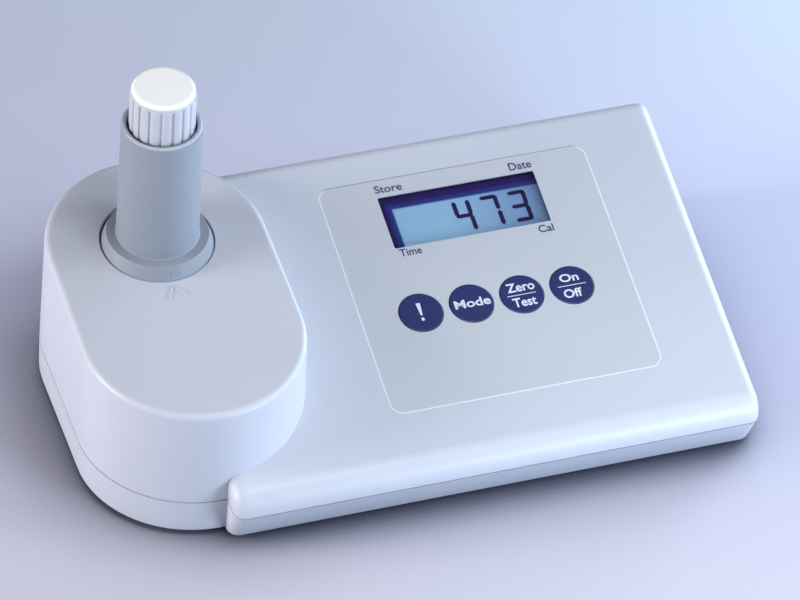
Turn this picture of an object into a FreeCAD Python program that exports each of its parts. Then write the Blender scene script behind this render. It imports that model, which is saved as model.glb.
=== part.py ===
"""Chemical oxygen demand meter: a bench photometer for 16 mm vials, in millimetres.

The instrument stands on four rubber feet. The origin is the middle of its footprint on the table,
+X runs along its length towards the display end, +Y to the back and +Z up.
Panel pieces are placed in the frame of the sloping console face: across it, up the slope and
along its outward normal.
"""
import FreeCAD, Part
import math
import os
import re

import Sketcher

Vector = FreeCAD.Vector
Rotation = FreeCAD.Rotation

doc = FreeCAD.newDocument("OxygenDemandMeter")
sheet = doc.addObject("Spreadsheet::Sheet", "Dims")

# Driving dimensions: name, size in millimetres or degrees, meaning
DIMENSIONS = [
    ("body_length", 190, "length of the housing"),
    ("body_width", 110, "depth of the housing, front to back"),
    ("foot_proud", 1.5, "height of the rubber feet below the housing"),
    ("foot_radius", 5, "radius of a rubber foot"),
    ("foot_sunk", 1.0, "depth of a foot's seat in the floor"),
    ("foot_edge", 0.6, "bevel of a foot's lower edge"),
    ("foot_end", 11, "right-hand feet inside the housing's end"),
    ("foot_side", 25, "right-hand feet inside the housing's front and back"),
    ("foot_outer", 17, "left-hand feet left of the chamber's middle"),
    ("foot_along", 6.5, "left-hand feet beyond the centres of the chamber's round ends"),
    ("parting_height", 13.0, "height of the joint between the two shells"),
    ("parting_gap", 0.4, "open joint between the shells, filled by the seal"),
    ("shell_wall", 2.4, "side walls of both shells"),
    ("top_wall", 2.6, "top walls of the upper shell"),
    ("floor_wall", 2.4, "floor of the base shell"),
    ("console_rise", 32.5, "height of the console face above the table at the middle"),
    ("console_slope", 13.0, "slope of the console face, degrees"),
    ("console_inset", 34, "left end of the console inside the housing's left end"),
    ("console_setback", 0.7, "back of the console before the chamber block's back"),
    ("back_lean", 2.4, "how far the back wall leans in over its height"),
    ("front_lean", 0.4, "how far the front wall leans in"),
    ("roll_radius", 7, "rounding where the console face turns down to the front"),
    ("console_round", 3.5, "rounding of the console's other edges"),
    ("front_undercut", 5.3, "how far the base draws back under the front"),
    ("chamber_radius", 32.5, "radius of the chamber block's round ends"),
    ("chamber_setback", 9, "front of the chamber block behind the console's front"),
    ("chamber_rise", 49.0, "height of the chamber top at the middle"),
    ("chamber_slope", 3.8, "slope of the chamber top, degrees"),
    ("chamber_draft", 1.1, "draft of the chamber block's side, degrees"),
    ("chamber_round", 1.8, "rounding of the chamber block's rim"),
    ("base_round", 1.2, "rounding of the chamber block's lower edge"),
    ("inner_round", 0.8, "share of an inset taken off a corner's radius"),
    ("seal_inset", 0.7, "depth of the seal behind the shells' outside"),
    ("seal_width", 1.2, "width of the seal between the shells"),
    ("fit_gap", 0.3, "gap between pieces that move past each other"),
    ("seat_gap", 0.05, "gap of a piece in its seat"),
    ("panel_length", 81.4, "length of the keypad panel"),
    ("panel_inset", 23.6, "panel's right edge inside the housing's right end"),
    ("panel_low", 37.7, "lower edge of the panel, down the slope"),
    ("panel_high", 40.6, "upper edge of the panel, up the slope"),
    ("panel_round", 4.0, "corner radius of the panel"),
    ("overlay_thick", 0.5, "thickness of the printed overlay"),
    ("window_inset", 16.9, "display window inside the panel's left edge"),
    ("window_length", 47.4, "length of the display window"),
    ("window_low", 16.6, "lower edge of the window, up the slope"),
    ("window_high", 34.6, "upper edge of the window, up the slope"),
    ("window_round", 0.6, "corner radius of the overlay's window"),
    ("lens_rim", 2.4, "rim of the window lens behind the overlay"),
    ("lens_thick", 1.0, "thickness of the window lens"),
    ("glass_depth", 1.6, "depth of the display glass below the console face"),
    ("glass_thick", 2.0, "thickness of the display glass"),
    ("glass_rim", 0.8, "rim of the display glass around the window"),
    ("bezel_wall", 2.8, "wall of the tray around the display"),
    ("bezel_floor", 1.5, "floor of the tray under the backlight"),
    ("light_thick", 2.2, "thickness of the backlight"),
    ("key_inset", 17.9, "middle of the first key inside the panel's left edge"),
    ("key_pitch", 15.15, "distance between keys"),
    ("key_low", 6.0, "row of keys, down the slope"),
    ("key_radius", 6.45, "radius of a key"),
    ("key_proud", 0.1, "height of a key above the overlay"),
    ("key_thick", 0.75, "thickness of a key"),
    ("key_bevel", 0.3, "width of the bevel on a key's edge"),
    ("key_edge", 0.12, "height of the bevel on a key's edge"),
    ("key_travel", 0.3, "travel of a key"),
    ("key_gap", 0.15, "gap around a key"),
    ("circuit_thick", 1.1, "thickness of the keypad circuit with its spacer"),
    ("circuit_margin", 2.0, "keypad circuit beyond the outer keys"),
    ("circuit_round", 0.5, "corner radius of the keypad circuit"),
    ("tail_start", 6, "keypad circuit's tail from its left edge"),
    ("tail_wide", 10, "width of the keypad circuit's tail"),
    ("tail_thick", 0.3, "thickness of the keypad circuit's tail"),
    ("connector_high", 2.6, "height of the tail's connector"),
    ("connector_rim", 1.0, "connector beyond the tail's sides"),
    ("connector_deep", 2.5, "connector before and behind the tail"),
    ("dome_radius", 4.5, "radius of a snap dome"),
    ("dome_high", 0.33, "height of a snap dome"),
    ("dome_sheet", 0.12, "thickness of a snap dome"),
    ("dome_shoulder", 0.72, "share of a dome's radius inside its shoulder"),
    ("dome_shoulder_high", 0.86, "share of a dome's height at its shoulder"),
    ("dome_crown", 0.3, "share of a dome's radius inside its crown"),
    ("board_depth", 8.9, "depth of the circuit board's upper face below the console face"),
    ("board_thick", 1.6, "thickness of the circuit board"),
    ("board_gap", 7, "circuit board right of the middle posts"),
    ("board_inset", 15, "circuit board inside the housing's right end"),
    ("board_low", 19, "lower edge of the board, down the slope"),
    ("board_back", 9.3, "circuit board's upper edge before the console's back"),
    ("board_round", 1.5, "corner radius of the circuit board"),
    ("chip_inset", 51.4, "microcontroller inside the panel's right edge"),
    ("chip_side", 14, "side of the microcontroller"),
    ("chip_thick", 1.5, "thickness of the microcontroller"),
    ("buzzer_inset", 10, "middle of the buzzer inside the board's right edge"),
    ("buzzer_low", 6, "middle of the buzzer, down the slope"),
    ("buzzer_radius", 6, "radius of the buzzer"),
    ("buzzer_high", 4.8, "height of the buzzer"),
    ("buzzer_bevel", 0.6, "bevel of the buzzer's edge"),
    ("port_radius", 1.2, "radius of the buzzer's sound hole"),
    ("port_deep", 0.9, "depth of the buzzer's sound hole"),
    ("boss_inset", 3.6, "board bosses inside the board's edges"),
    ("boss_radius", 3.2, "radius of a board boss"),
    ("pilot_radius", 1.15, "radius of a screw hole in a boss"),
    ("adapter_flange", 16.3, "radius of the adapter's flange"),
    ("flange_neck", 14.55, "radius at the top of the flange's cone"),
    ("flange_high", 4.4, "height of the flange's cone"),
    ("flange_seat", 49.2, "height of the flange's seat above the table"),
    ("tube_foot", 11.8, "radius of the tube at the flange"),
    ("tube_rim", 11.45, "radius of the tube at its rim"),
    ("tube_step", 0.5, "height of the step between flange and tube"),
    ("tube_high", 45.9, "height of the rim above the flange's seat"),
    ("sleeve_radius", 12.0, "radius of the adapter's lower sleeve"),
    ("adapter_floor", 7.2, "height of the adapter's lower end"),
    ("adapter_base", 1.2, "thickness of the adapter's lower end"),
    ("adapter_hole", 4.0, "radius of the drain hole in the adapter's end"),
    ("adapter_bevel", 0.5, "bevel of the adapter's ends"),
    ("mouth_cone", 0.8, "height of the cone that leads the vial in"),
    ("vial_radius", 8.0, "radius of the vial"),
    ("vial_gap", 0.3, "gap around the vial in the adapter"),
    ("vial_wall", 1.1, "wall of the vial"),
    ("vial_base", 1.4, "thickness of the vial's bottom"),
    ("vial_corner", 1.2, "rounding of the vial's lower corner"),
    ("vial_shoulder", 80.5, "height of the vial's shoulder above its bottom"),
    ("neck_radius", 6.9, "radius of the vial's neck"),
    ("shoulder_high", 1.8, "height of the vial's shoulder cone"),
    ("lip_bevel", 0.4, "bevel of the vial's lip"),
    ("vial_high", 97.2, "height of the glass vial"),
    ("thread_pitch", 3.0, "pitch of the vial's thread"),
    ("thread_turns", 1.5, "turns of the vial's thread"),
    ("thread_depth", 0.65, "depth of the vial's thread"),
    ("thread_start", 88.5, "height of the thread's lower end above the vial's bottom"),
    ("thread_root", 0.2, "depth of the thread's root in its wall"),
    ("thread_foot", 0.24, "share of the pitch from a thread's middle to its foot"),
    ("thread_crest", 0.1, "share of the pitch from a thread's middle to its crest's edge"),
    ("cap_radius", 9.05, "radius of the vial's cap"),
    ("cap_high", 16.4, "height of the cap"),
    ("cap_top", 1.7, "thickness of the cap's top"),
    ("cap_round", 1.4, "rounding of the cap's top edge"),
    ("cap_bead", 0.35, "height of the bead at the cap's lower end"),
    ("bead_high", 1.0, "height of the bead's straight side"),
    ("liner_thick", 1.0, "thickness of the cap's liner"),
    ("cap_flutes", 36, "number of flutes round the cap"),
    ("flute_radius", 0.5, "radius of the tool that cuts the flutes"),
    ("flute_start", 1.8, "lower end of the flutes above the cap's edge"),
    ("flute_end", 0.6, "upper end of the flutes below the top's rounding"),
    ("cap_space", 0.45, "gap around the cap in the tube's mouth"),
    ("mouth_depth", 4.4, "depth of the wide mouth in the tube's rim"),
    ("beam_height", 20, "height of the light beam above the table"),
    ("beam_radius", 2.6, "radius of the beam's passage"),
    ("block_half", 18, "half the width of the measuring chamber block"),
    ("block_foot", 5.2, "height of the chamber block's underside"),
    ("block_floor", 7.0, "height of the chamber's floor"),
    ("block_gap", 0.2, "gap around the adapter in the chamber"),
    ("block_round", 4, "corner radius of the chamber block"),
    ("gasket_thick", 1.2, "thickness of the gasket over the chamber block"),
    ("gasket_inset", 0.9, "gasket inside the edges of the chamber block"),
    ("lug_reach", 8, "reach of the chamber block's screw lugs"),
    ("lug_thick", 3, "thickness of a screw lug"),
    ("lug_half", 3.6, "half the width of a screw lug"),
    ("lug_spread", 9, "screw lugs each side of the chamber's middle"),
    ("lug_root", 2, "depth of a lug's root in the block"),
    ("pilot_floor", 0.8, "floor left under the chamber screws' holes"),
    ("collar_wall", 7.2, "ring of the upper shell around the adapter"),
    ("collar_high", 3.4, "thickness of the upper shell under the flange"),
    ("filter_radius", 6.3, "radius of the interference filter"),
    ("filter_thick", 3.0, "thickness of the interference filter"),
    ("diode_radius", 4.6, "radius of the photodiode"),
    ("diode_thick", 4.0, "length of the photodiode"),
    ("holder_half", 10, "half the width of the photodiode's holder"),
    ("holder_thick", 6.0, "thickness of the photodiode's holder"),
    ("lamp_radius", 2.5, "radius of the light diode"),
    ("lamp_length", 8.0, "length of the light diode"),
    ("lamp_sleeve", 5.5, "radius of the light diode's holder"),
    ("lamp_room", 5.5, "room between the light diode's holder and the shell"),
    ("lamp_seat", 2, "depth of the light diode's holder in the block"),
    ("small_board", 8.5, "half the width of the small optics boards"),
    ("plug_thick", 3, "thickness of the sensor lead's plug"),
    ("plug_half", 4.5, "half the width of the plug"),
    ("plug_up", 2, "plug above the light beam"),
    ("plug_high", 6, "height of the plug"),
    ("ribbon_half", 3.8, "half the width of the sensor ribbon"),
    ("ribbon_thick", 0.6, "thickness of the sensor ribbon"),
    ("ribbon_reach", 3, "ribbon on the circuit board"),
    ("cell_radius", 5.2, "radius of a battery cell"),
    ("cell_length", 43.3, "length of a battery cell without its stud"),
    ("cell_pitch", 11.0, "distance between battery cells"),
    ("cell_stud", 1.9, "radius of a cell's stud"),
    ("stud_high", 1.2, "height of a cell's stud"),
    ("cell_bevel", 0.4, "bevel of a cell's ends"),
    ("contact_room", 4.6, "room for the contacts at each end of the cells"),
    ("contact_thick", 0.4, "thickness of a contact plate"),
    ("contact_half", 4.4, "half the width of a contact plate"),
    ("contact_inset", 0.8, "contact plates inside the well's top and mouth"),
    ("spring_foot", 4.0, "radius of a contact spring at its plate"),
    ("spring_tip", 2.3, "radius of a contact spring at the cell"),
    ("stub_tip", 1.1, "radius of a contact stub at the cell"),
    ("lead_inset", 0.2, "lead inside the edge of its contact plate"),
    ("lead_radius", 0.7, "radius of a battery lead"),
    ("well_inset", 60, "middle of the battery well inside the housing's right end"),
    ("well_front", 3, "middle of the battery well, before the middle"),
    ("well_clear", 0.4, "gap between the cells and their well"),
    ("well_wall", 1.5, "wall of the battery well"),
    ("cover_thick", 2.0, "thickness of the battery cover"),
    ("cover_ends", 10, "cover beyond the well at each end"),
    ("cover_sides", 4, "cover beyond the well at each side"),
    ("cover_round", 3, "corner radius of the battery cover"),
    ("cover_screw_inset", 4, "cover screws inside the cover's ends"),
    ("ledge_rim", 2, "ledge beyond the cover's edge"),
    ("ledge_thick", 2.6, "ledge that the battery cover closes on"),
    ("seal_thick", 0.9, "thickness of the battery cover's seal"),
    ("ring_width", 1.6, "width of the battery cover's seal"),
    ("ring_inset", 0.7, "seal outside the battery well's mouth"),
    ("post_radius", 4, "radius of a housing screw's post"),
    ("post_end", 9, "posts inside the housing's right end"),
    ("post_side", 13, "posts inside the housing's front and back"),
    ("post_gap", 6, "middle posts right of the chamber block"),
    ("post_front", 9, "chamber's post inside its front end"),
    ("screw_radius", 1.4, "radius of a housing screw"),
    ("head_radius", 2.7, "radius of a housing screw's head"),
    ("head_high", 1.8, "height of a housing screw's head"),
    ("screw_length", 16, "length of a housing screw under its head"),
    ("head_sunk", 0.6, "depth of the housing screws' heads in the base"),
    ("screw_room", 0.6, "room past the tip of a screw"),
    ("head_straight", 0.7, "share of a screw head's height below its bevel"),
    ("head_crown", 0.85, "share of a screw head's radius inside its bevel"),
    ("screw_tip", 0.35, "share of a screw's radius at its tip"),
    ("recess_arm", 0.62, "reach of a driver recess, share of the head's radius"),
    ("recess_blade", 0.17, "half width of a driver recess, share of the head's radius"),
    ("recess_deep", 0.6, "depth of a driver recess, share of the head's height"),
    ("small_screw", 1.1, "radius of a small screw"),
    ("small_head", 2.2, "radius of a small screw's head"),
    ("small_head_high", 1.3, "height of a small screw's head"),
    ("small_length", 5.2, "length of a small screw under its head"),
]

# Places that follow from the sizes above, measured from the middle
DERIVED = [
    ("chamber_left", "=body_length / 2 - chamber_radius", "middle of the chamber block, to the left"),
    ("chamber_back", "=body_width / 2 - chamber_radius", "centre of the back round end, behind"),
    ("chamber_front", "=chamber_back - chamber_setback", "centre of the front round end, before"),
    ("console_left", "=body_length / 2 - console_inset", "left end of the console, to the left"),
    ("console_back", "=body_width / 2 - console_setback", "back of the console, behind"),
    ("panel_right", "=body_length / 2 - panel_inset", "right edge of the panel"),
    ("panel_left", "=panel_length - panel_right", "left edge of the panel, to the left"),
    ("window_left", "=window_inset - panel_left", "left edge of the window"),
    ("window_right", "=window_left + window_length", "right edge of the window"),
    ("key_first", "=key_inset - panel_left", "middle of the first key"),
    ("post_left", "=chamber_left - chamber_radius - post_gap", "middle posts, to the left"),
    ("board_left", "=post_left - post_radius - board_gap", "left edge of the board, to the left"),
    ("board_right", "=body_length / 2 - board_inset", "right edge of the board"),
    ("board_high", "=console_back - board_back", "upper edge of the board, up the slope"),
    ("chip_left", "=panel_right - chip_inset", "left edge of the microcontroller"),
    ("buzzer_right", "=board_right - buzzer_inset", "middle of the buzzer"),
    ("well_middle", "=body_length / 2 - well_inset", "middle of the battery well"),
    ("lamp_sleeve_long", "=chamber_radius - shell_wall - block_half + lamp_seat - lamp_room",
     "length of the light diode's holder"),
]
for row, (alias, size, meaning) in enumerate(DIMENSIONS + DERIVED, 1):
    sheet.set(f"A{row}", alias.replace("_", " "))
    sheet.set(f"B{row}", str(size))
    sheet.set(f"C{row}", meaning)
    sheet.setAlias(f"B{row}", alias)
doc.recompute()

NAMES = {alias for alias, size, meaning in DIMENSIONS + DERIVED}
WORD = re.compile(r"[a-z][a-z_]*")
SUB_PARTS = []

# How far a cutting tool runs past the surface it opens, and how close counts as the same place
BEYOND = "1"
CLOSE = 0.01


# Formulas and their values

def formula(text):
    """The expression, with each dimension's name pointing into the sheet."""
    return WORD.sub(lambda word: f"Dims.{word[0]}" if word[0] in NAMES else word[0], str(text))


def value(text):
    return float(sheet.evalExpression(formula(text)))


def bind(item, target, text):
    item.setExpression(target, formula(text))


def console_at(y):
    """Height of the console face above the table at a place in its depth."""
    return f"(console_rise + ({y}) * tan(console_slope))"


def chamber_at(y):
    """Height of the chamber top above the table at a place in its depth."""
    return f"(chamber_rise + ({y}) * tan(chamber_slope))"


# Placing

def place(item, x=0, y=0, z=0):
    for axis, text in zip("xyz", (x, y, z)):
        bind(item, f"Placement.Base.{axis}", text)
    return item


def turn(item, axis, angle):
    item.Placement = FreeCAD.Placement(Vector(), Rotation(axis, angle))
    return item


def on_panel(item, x=0, up=0, out=0):
    """Places an item in the console face's frame."""
    turn(item, Vector(1, 0, 0), value("console_slope"))
    bind(item, "Placement.Rotation.Angle", "console_slope")
    y = f"({up}) * cos(console_slope) - ({out}) * sin(console_slope)"
    z = f"console_rise + ({up}) * sin(console_slope) + ({out}) * cos(console_slope)"
    return place(item, x, y, z)


# Sketches

def sketch_on(body, role, offset=0):
    plane = next(item for item in body.Origin.OriginFeatures if item.Role == role)
    sketch = body.newObject("Sketcher::SketchObject", "Sketch")
    sketch.AttachmentSupport = (plane, "")
    sketch.MapMode = "FlatFace"
    bind(sketch, "AttachmentOffset.Base.z", offset)
    return sketch


def pin(sketch, geometry, point, x, y):
    """Holds a point of the sketch at a place given by two formulas."""
    for kind, text in (("DistanceX", x), ("DistanceY", y)):
        index = sketch.addConstraint(Sketcher.Constraint(kind, -1, 1, geometry, point, value(text)))
        bind(sketch, f"Constraints[{index}]", text)


def size_round(sketch, geometry, radius):
    index = sketch.addConstraint(Sketcher.Constraint("Radius", geometry, value(radius)))
    bind(sketch, f"Constraints[{index}]", radius)


def polygon(sketch, points):
    """Closed outline through points given as pairs of formulas."""
    corners = [Vector(value(x), value(y), 0) for x, y in points]
    first = sketch.GeometryCount
    count = len(points)
    for here, following in zip(corners, corners[1:] + corners[:1]):
        sketch.addGeometry(Part.LineSegment(here, following), False)
    for side in range(count):
        after = first + (side + 1) % count
        sketch.addConstraint(Sketcher.Constraint("Coincident", first + side, 2, after, 1))
    for side, (x, y) in enumerate(points):
        pin(sketch, first + side, 1, x, y)


def circle(sketch, x, y, radius):
    centre = Vector(value(x), value(y), 0)
    index = sketch.addGeometry(Part.Circle(centre, Vector(0, 0, 1), value(radius)), False)
    pin(sketch, index, 3, x, y)
    size_round(sketch, index, radius)


def rounded_outline(sketch, centres, radius):
    """Outline of arcs round the centres, which run anticlockwise, joined by tangent lines."""
    points = [Vector(value(x), value(y), 0) for x, y in centres]
    size = value(radius)
    count = len(points)
    normals = []
    for here, following in zip(points, points[1:] + points[:1]):
        along = (following - here).normalize()
        normals.append(Vector(along.y, -along.x, 0))
    first = sketch.GeometryCount
    for place_in, point in enumerate(points):
        before = normals[place_in - 1]
        after = normals[place_in]
        start = math.atan2(before.y, before.x)
        end = math.atan2(after.y, after.x)
        if end <= start:
            end += 2 * math.pi
        whole = Part.Circle(point, Vector(0, 0, 1), size)
        sketch.addGeometry(Part.ArcOfCircle(whole, start, end), False)
        following = points[(place_in + 1) % count]
        sketch.addGeometry(Part.LineSegment(point + after * size, following + after * size), False)
    for edge in range(2 * count):
        after = first + (edge + 1) % (2 * count)
        sketch.addConstraint(Sketcher.Constraint("Tangent", first + edge, 2, after, 1))
    for place_in, (x, y) in enumerate(centres):
        pin(sketch, first + 2 * place_in, 3, x, y)
        size_round(sketch, first + 2 * place_in, radius)


def rounded_rectangle(sketch, low_x, high_x, low_y, high_y, radius):
    near_x = f"({low_x}) + ({radius})"
    far_x = f"({high_x}) - ({radius})"
    near_y = f"({low_y}) + ({radius})"
    far_y = f"({high_y}) - ({radius})"
    corners = [(near_x, near_y), (far_x, near_y), (far_x, far_y), (near_x, far_y)]
    rounded_outline(sketch, corners, radius)


# Features

def new_body(label):
    body = doc.addObject("PartDesign::Body", "Body")
    body.Label = label
    return body


def pad(body, sketch, length, taper=0):
    feature = body.newObject("PartDesign::Pad", "Pad")
    feature.Profile = sketch
    bind(feature, "Length", length)
    bind(feature, "TaperAngle", f"-({taper})")
    doc.recompute()
    return feature


def pocket(body, sketch, length, backwards=False):
    """Cuts against the sketch's normal, or along it where backwards is set."""
    before = body.Shape.Volume
    feature = body.newObject("PartDesign::Pocket", "Pocket")
    feature.Profile = sketch
    feature.Reversed = backwards
    bind(feature, "Length", length)
    doc.recompute()
    if not body.Shape.Volume < before:
        raise RuntimeError(f"{body.Label}: the pocket cuts nothing")
    return feature


def fillet(body, radius, wanted):
    """Rounds the edges of the body's last feature that pass the test."""
    last = body.Tip
    chosen = [f"Edge{place_in}" for place_in, edge in enumerate(last.Shape.Edges, 1) if wanted(edge)]
    if not chosen:
        raise RuntimeError(f"{body.Label}: no edge to round")
    feature = body.newObject("PartDesign::Fillet", "Fillet")
    feature.Base = (last, chosen)
    bind(feature, "Radius", radius)
    doc.recompute()
    return feature


def turned(label, outline):
    """A body of revolution about its own Z axis; the outline holds radius and height pairs."""
    body = new_body(label)
    sketch = sketch_on(body, "XZ_Plane")
    polygon(sketch, outline)
    feature = body.newObject("PartDesign::Revolution", "Revolution")
    feature.Profile = sketch
    feature.ReferenceAxis = (sketch, ["V_Axis"])
    feature.Angle = 360
    doc.recompute()
    return body


def plate(label, outlines, low, high):
    """A flat piece between two heights; each outline is a function that draws in the sketch."""
    body = new_body(label)
    sketch = sketch_on(body, "XY_Plane", low)
    for draw in outlines:
        draw(sketch)
    pad(body, sketch, f"({high}) - ({low})")
    return body


def box(low_x, high_x, low_y, high_y, low_z, high_z, panel=False):
    item = doc.addObject("Part::Box", "Box")
    bind(item, "Length", f"({high_x}) - ({low_x})")
    bind(item, "Width", f"({high_y}) - ({low_y})")
    bind(item, "Height", f"({high_z}) - ({low_z})")
    if panel:
        return on_panel(item, low_x, low_y, low_z)
    return place(item, low_x, low_y, low_z)


def cylinder(x, y, low, high, radius, panel=False):
    item = doc.addObject("Part::Cylinder", "Cylinder")
    bind(item, "Radius", radius)
    bind(item, "Height", f"({high}) - ({low})")
    if panel:
        return on_panel(item, x, y, low)
    return place(item, x, y, low)


def cross_cylinder(low_x, high_x, y, z, radius):
    """A cylinder whose axis runs along X."""
    item = doc.addObject("Part::Cylinder", "Cylinder")
    bind(item, "Radius", radius)
    bind(item, "Height", f"({high_x}) - ({low_x})")
    turn(item, Vector(0, 1, 0), 90)
    return place(item, low_x, y, z)


def fuse(items):
    joined = doc.addObject("Part::MultiFuse", "Fusion")
    joined.Shapes = items
    joined.Refine = True
    return joined


def cut(item, tools):
    tool = fuse(tools) if len(tools) > 1 else tools[0]
    result = doc.addObject("Part::Cut", "Cut")
    result.Base = item
    result.Tool = tool
    return result


def group(items):
    together = doc.addObject("Part::Compound", "Group")
    together.Links = items
    return together


def sub_part(label, item):
    """Names a finished piece; the label is also its file's name."""
    item.Label = label
    SUB_PARTS.append(item)
    return item


def along(edge, axis):
    """True where a straight edge runs along an axis."""
    if edge.Curve.TypeId != "Part::GeomLine":
        return False
    return abs(abs(edge.Curve.Direction.dot(axis)) - 1) < 1e-6


def near(one, other):
    return abs(one - other) < CLOSE


# Forms of the housing

HALF_LENGTH = "body_length / 2"
FRONT = "-body_width / 2"
SHELL_LOW = "foot_proud"
BASE_TOP = "parting_height - parting_gap / 2"
UPPER_LOW = "parting_height + parting_gap / 2"
CHAMBER_X = "-chamber_left"


def console_form(label, inset, sink):
    """The console above the joint, drawn in all round by inset and lowered by sink."""
    front_top = f"{FRONT} + front_lean + ({inset})"
    back_top = f"console_back - back_lean - ({inset})"
    profile = [
        (f"{FRONT} + ({inset})", UPPER_LOW),
        (f"console_back - ({inset})", UPPER_LOW),
        (back_top, f"{console_at(back_top)} - ({sink}) / cos(console_slope)"),
        (front_top, f"{console_at(front_top)} - ({sink}) / cos(console_slope)"),
    ]
    body = new_body(label)
    sketch = sketch_on(body, "YZ_Plane", f"-console_left + ({inset})")
    polygon(sketch, profile)
    pad(body, sketch, f"{HALF_LENGTH} + console_left - 2 * ({inset})")
    return body


def round_console(body):
    """Rolls the console's front edge over and rounds its ends and back edge."""
    across = Vector(1, 0, 0)
    low = value(UPPER_LOW)
    right = value(HALF_LENGTH)
    left = -value("console_left")

    def front_edge(edge):
        return along(edge, across) and edge.BoundBox.YMax < 0 and edge.BoundBox.ZMin > low + CLOSE

    def end_or_back(edge):
        box_round = edge.BoundBox
        at_end = near(box_round.XMin, box_round.XMax)
        at_end = at_end and (near(box_round.XMin, right) or near(box_round.XMin, left))
        back = along(edge, across) and box_round.YMin > 0
        return (at_end or back) and box_round.ZMax > low + CLOSE

    fillet(body, "roll_radius", front_edge)
    fillet(body, "console_round", end_or_back)


def chamber_form(label, inset, sink):
    """The chamber block above the joint, drawn in all round by inset and lowered by sink."""
    body = new_body(label)
    sketch = sketch_on(body, "XY_Plane", UPPER_LOW)
    centres = [(CHAMBER_X, "-chamber_front"), (CHAMBER_X, "chamber_back")]
    rounded_outline(sketch, centres, f"chamber_radius - ({inset})")
    pad(body, sketch, "chamber_rise", "chamber_draft")
    lid = sketch_on(body, "YZ_Plane", CHAMBER_X)
    down = f"({sink}) / cos(chamber_slope)"
    polygon(lid, [
        ("-body_width", f"{chamber_at('-body_width')} - {down}"),
        ("body_width", f"{chamber_at('body_width')} - {down}"),
        ("body_width", "3 * chamber_rise"),
        ("-body_width", "3 * chamber_rise"),
    ])
    lid_cut = pocket(body, lid, "3 * chamber_radius")
    lid_cut.Midplane = True
    doc.recompute()
    return body


def round_chamber(body):
    top = max(body.Tip.Shape.Faces, key=lambda face: face.CenterOfMass.z)
    rim = [edge.CenterOfMass for edge in top.Edges]
    fillet(body, "chamber_round", lambda edge: any(edge.CenterOfMass.isEqual(at, CLOSE) for at in rim))


def base_console_form(label, inset, low):
    """The base under the console, drawn in all round by inset, from low up to the joint."""
    front = f"{FRONT} + ({inset})"
    slant = f"front_undercut * ({BASE_TOP} - ({low})) / ({BASE_TOP} - {SHELL_LOW})"
    body = new_body(label)
    sketch = sketch_on(body, "YZ_Plane", f"-console_left + ({inset})")
    polygon(sketch, [
        (f"{front} + {slant}", low),
        (f"console_back - ({inset})", low),
        (f"console_back - ({inset})", BASE_TOP),
        (front, BASE_TOP),
    ])
    pad(body, sketch, f"{HALF_LENGTH} + console_left - 2 * ({inset})")
    across = Vector(1, 0, 0)

    def end_edge(edge):
        box_round = edge.BoundBox
        return not along(edge, across) and box_round.ZLength > CLOSE

    fillet(body, f"console_round - ({inset}) * inner_round", end_edge)
    return body


def base_chamber_form(label, inset, low):
    centres = [(CHAMBER_X, "-chamber_front"), (CHAMBER_X, "chamber_back")]
    draw = [lambda sketch: rounded_outline(sketch, centres, f"chamber_radius - ({inset})")]
    return plate(label, draw, low, BASE_TOP)


def footprint_form(inset, low, high):
    """The housing's outline at the joint, drawn in by inset, between two heights."""
    round_by = f"console_round - ({inset}) * inner_round"
    across = plate("console footprint", [lambda sketch: rounded_rectangle(
        sketch, f"-console_left + ({inset})", f"{HALF_LENGTH} - ({inset})",
        f"{FRONT} + ({inset})", f"console_back - ({inset})", round_by)], low, high)
    centres = [(CHAMBER_X, "-chamber_front"), (CHAMBER_X, "chamber_back")]
    block = plate("chamber footprint", [lambda sketch: rounded_outline(
        sketch, centres, f"chamber_radius - ({inset})")], low, high)
    return fuse([across, block])


# Places that several pieces share

BOARD_BOSSES = [
    (x, up)
    for x in ("-board_left + boss_inset", "board_right - boss_inset")
    for up in ("-board_low + boss_inset", "board_high - boss_inset")
]
BOARD_TOP = "-board_depth"
BOARD_UNDER = "-board_depth - board_thick"
POSTS = [
    ("body_length / 2 - post_end", "-body_width / 2 + post_side"),
    ("body_length / 2 - post_end", "body_width / 2 - post_side"),
    ("-post_left", "-body_width / 2 + post_side"),
    ("-post_left", "body_width / 2 - post_side"),
    (CHAMBER_X, "-chamber_front - chamber_radius + post_front"),
]
FEET = [
    ("body_length / 2 - foot_end", "-body_width / 2 + foot_side"),
    ("body_length / 2 - foot_end", "body_width / 2 - foot_side"),
    ("-chamber_left - foot_outer", "-chamber_front - foot_along"),
    ("-chamber_left - foot_outer", "chamber_back + foot_along"),
]
KEYS = ["key_alert", "key_mode", "key_zero_test", "key_on_off"]
KEY_PLACES = [(label, f"key_first + {place_in} * key_pitch") for place_in, label in enumerate(KEYS)]
GLASS_LEFT = "(window_left - glass_rim)"
GLASS_RIGHT = "(window_right + glass_rim)"
GLASS_LOW = "(window_low - glass_rim)"
GLASS_HIGH = "(window_high + glass_rim)"
GLASS_UNDER = "(-glass_depth - glass_thick)"
CIRCUIT_LEFT = "(key_first - key_radius - circuit_margin)"
CIRCUIT_RIGHT = f"(key_first + {len(KEYS) - 1} * key_pitch + key_radius + circuit_margin)"
CIRCUIT_LOW = "(-key_low - key_radius - circuit_margin)"
CIRCUIT_HIGH = "(-key_low + key_radius + circuit_margin)"
CIRCUIT_UNDER = "-overlay_thick - circuit_thick"
DOME_REST = "(key_proud - key_thick - key_travel - seat_gap - dome_high)"
TAIL_LEFT = f"({CIRCUIT_LEFT} + tail_start)"
TAIL_RIGHT = f"({TAIL_LEFT} + tail_wide)"
TAIL_LOW = f"({CIRCUIT_HIGH} - tail_thick)"
CELLS = 4
MIDDLE_CELL = (CELLS - 1) / 2
WELL_LONG = "cell_length / 2 + stud_high / 2 + contact_room"
WELL_HALF = f"{CELLS / 2} * cell_pitch + well_clear"
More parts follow.
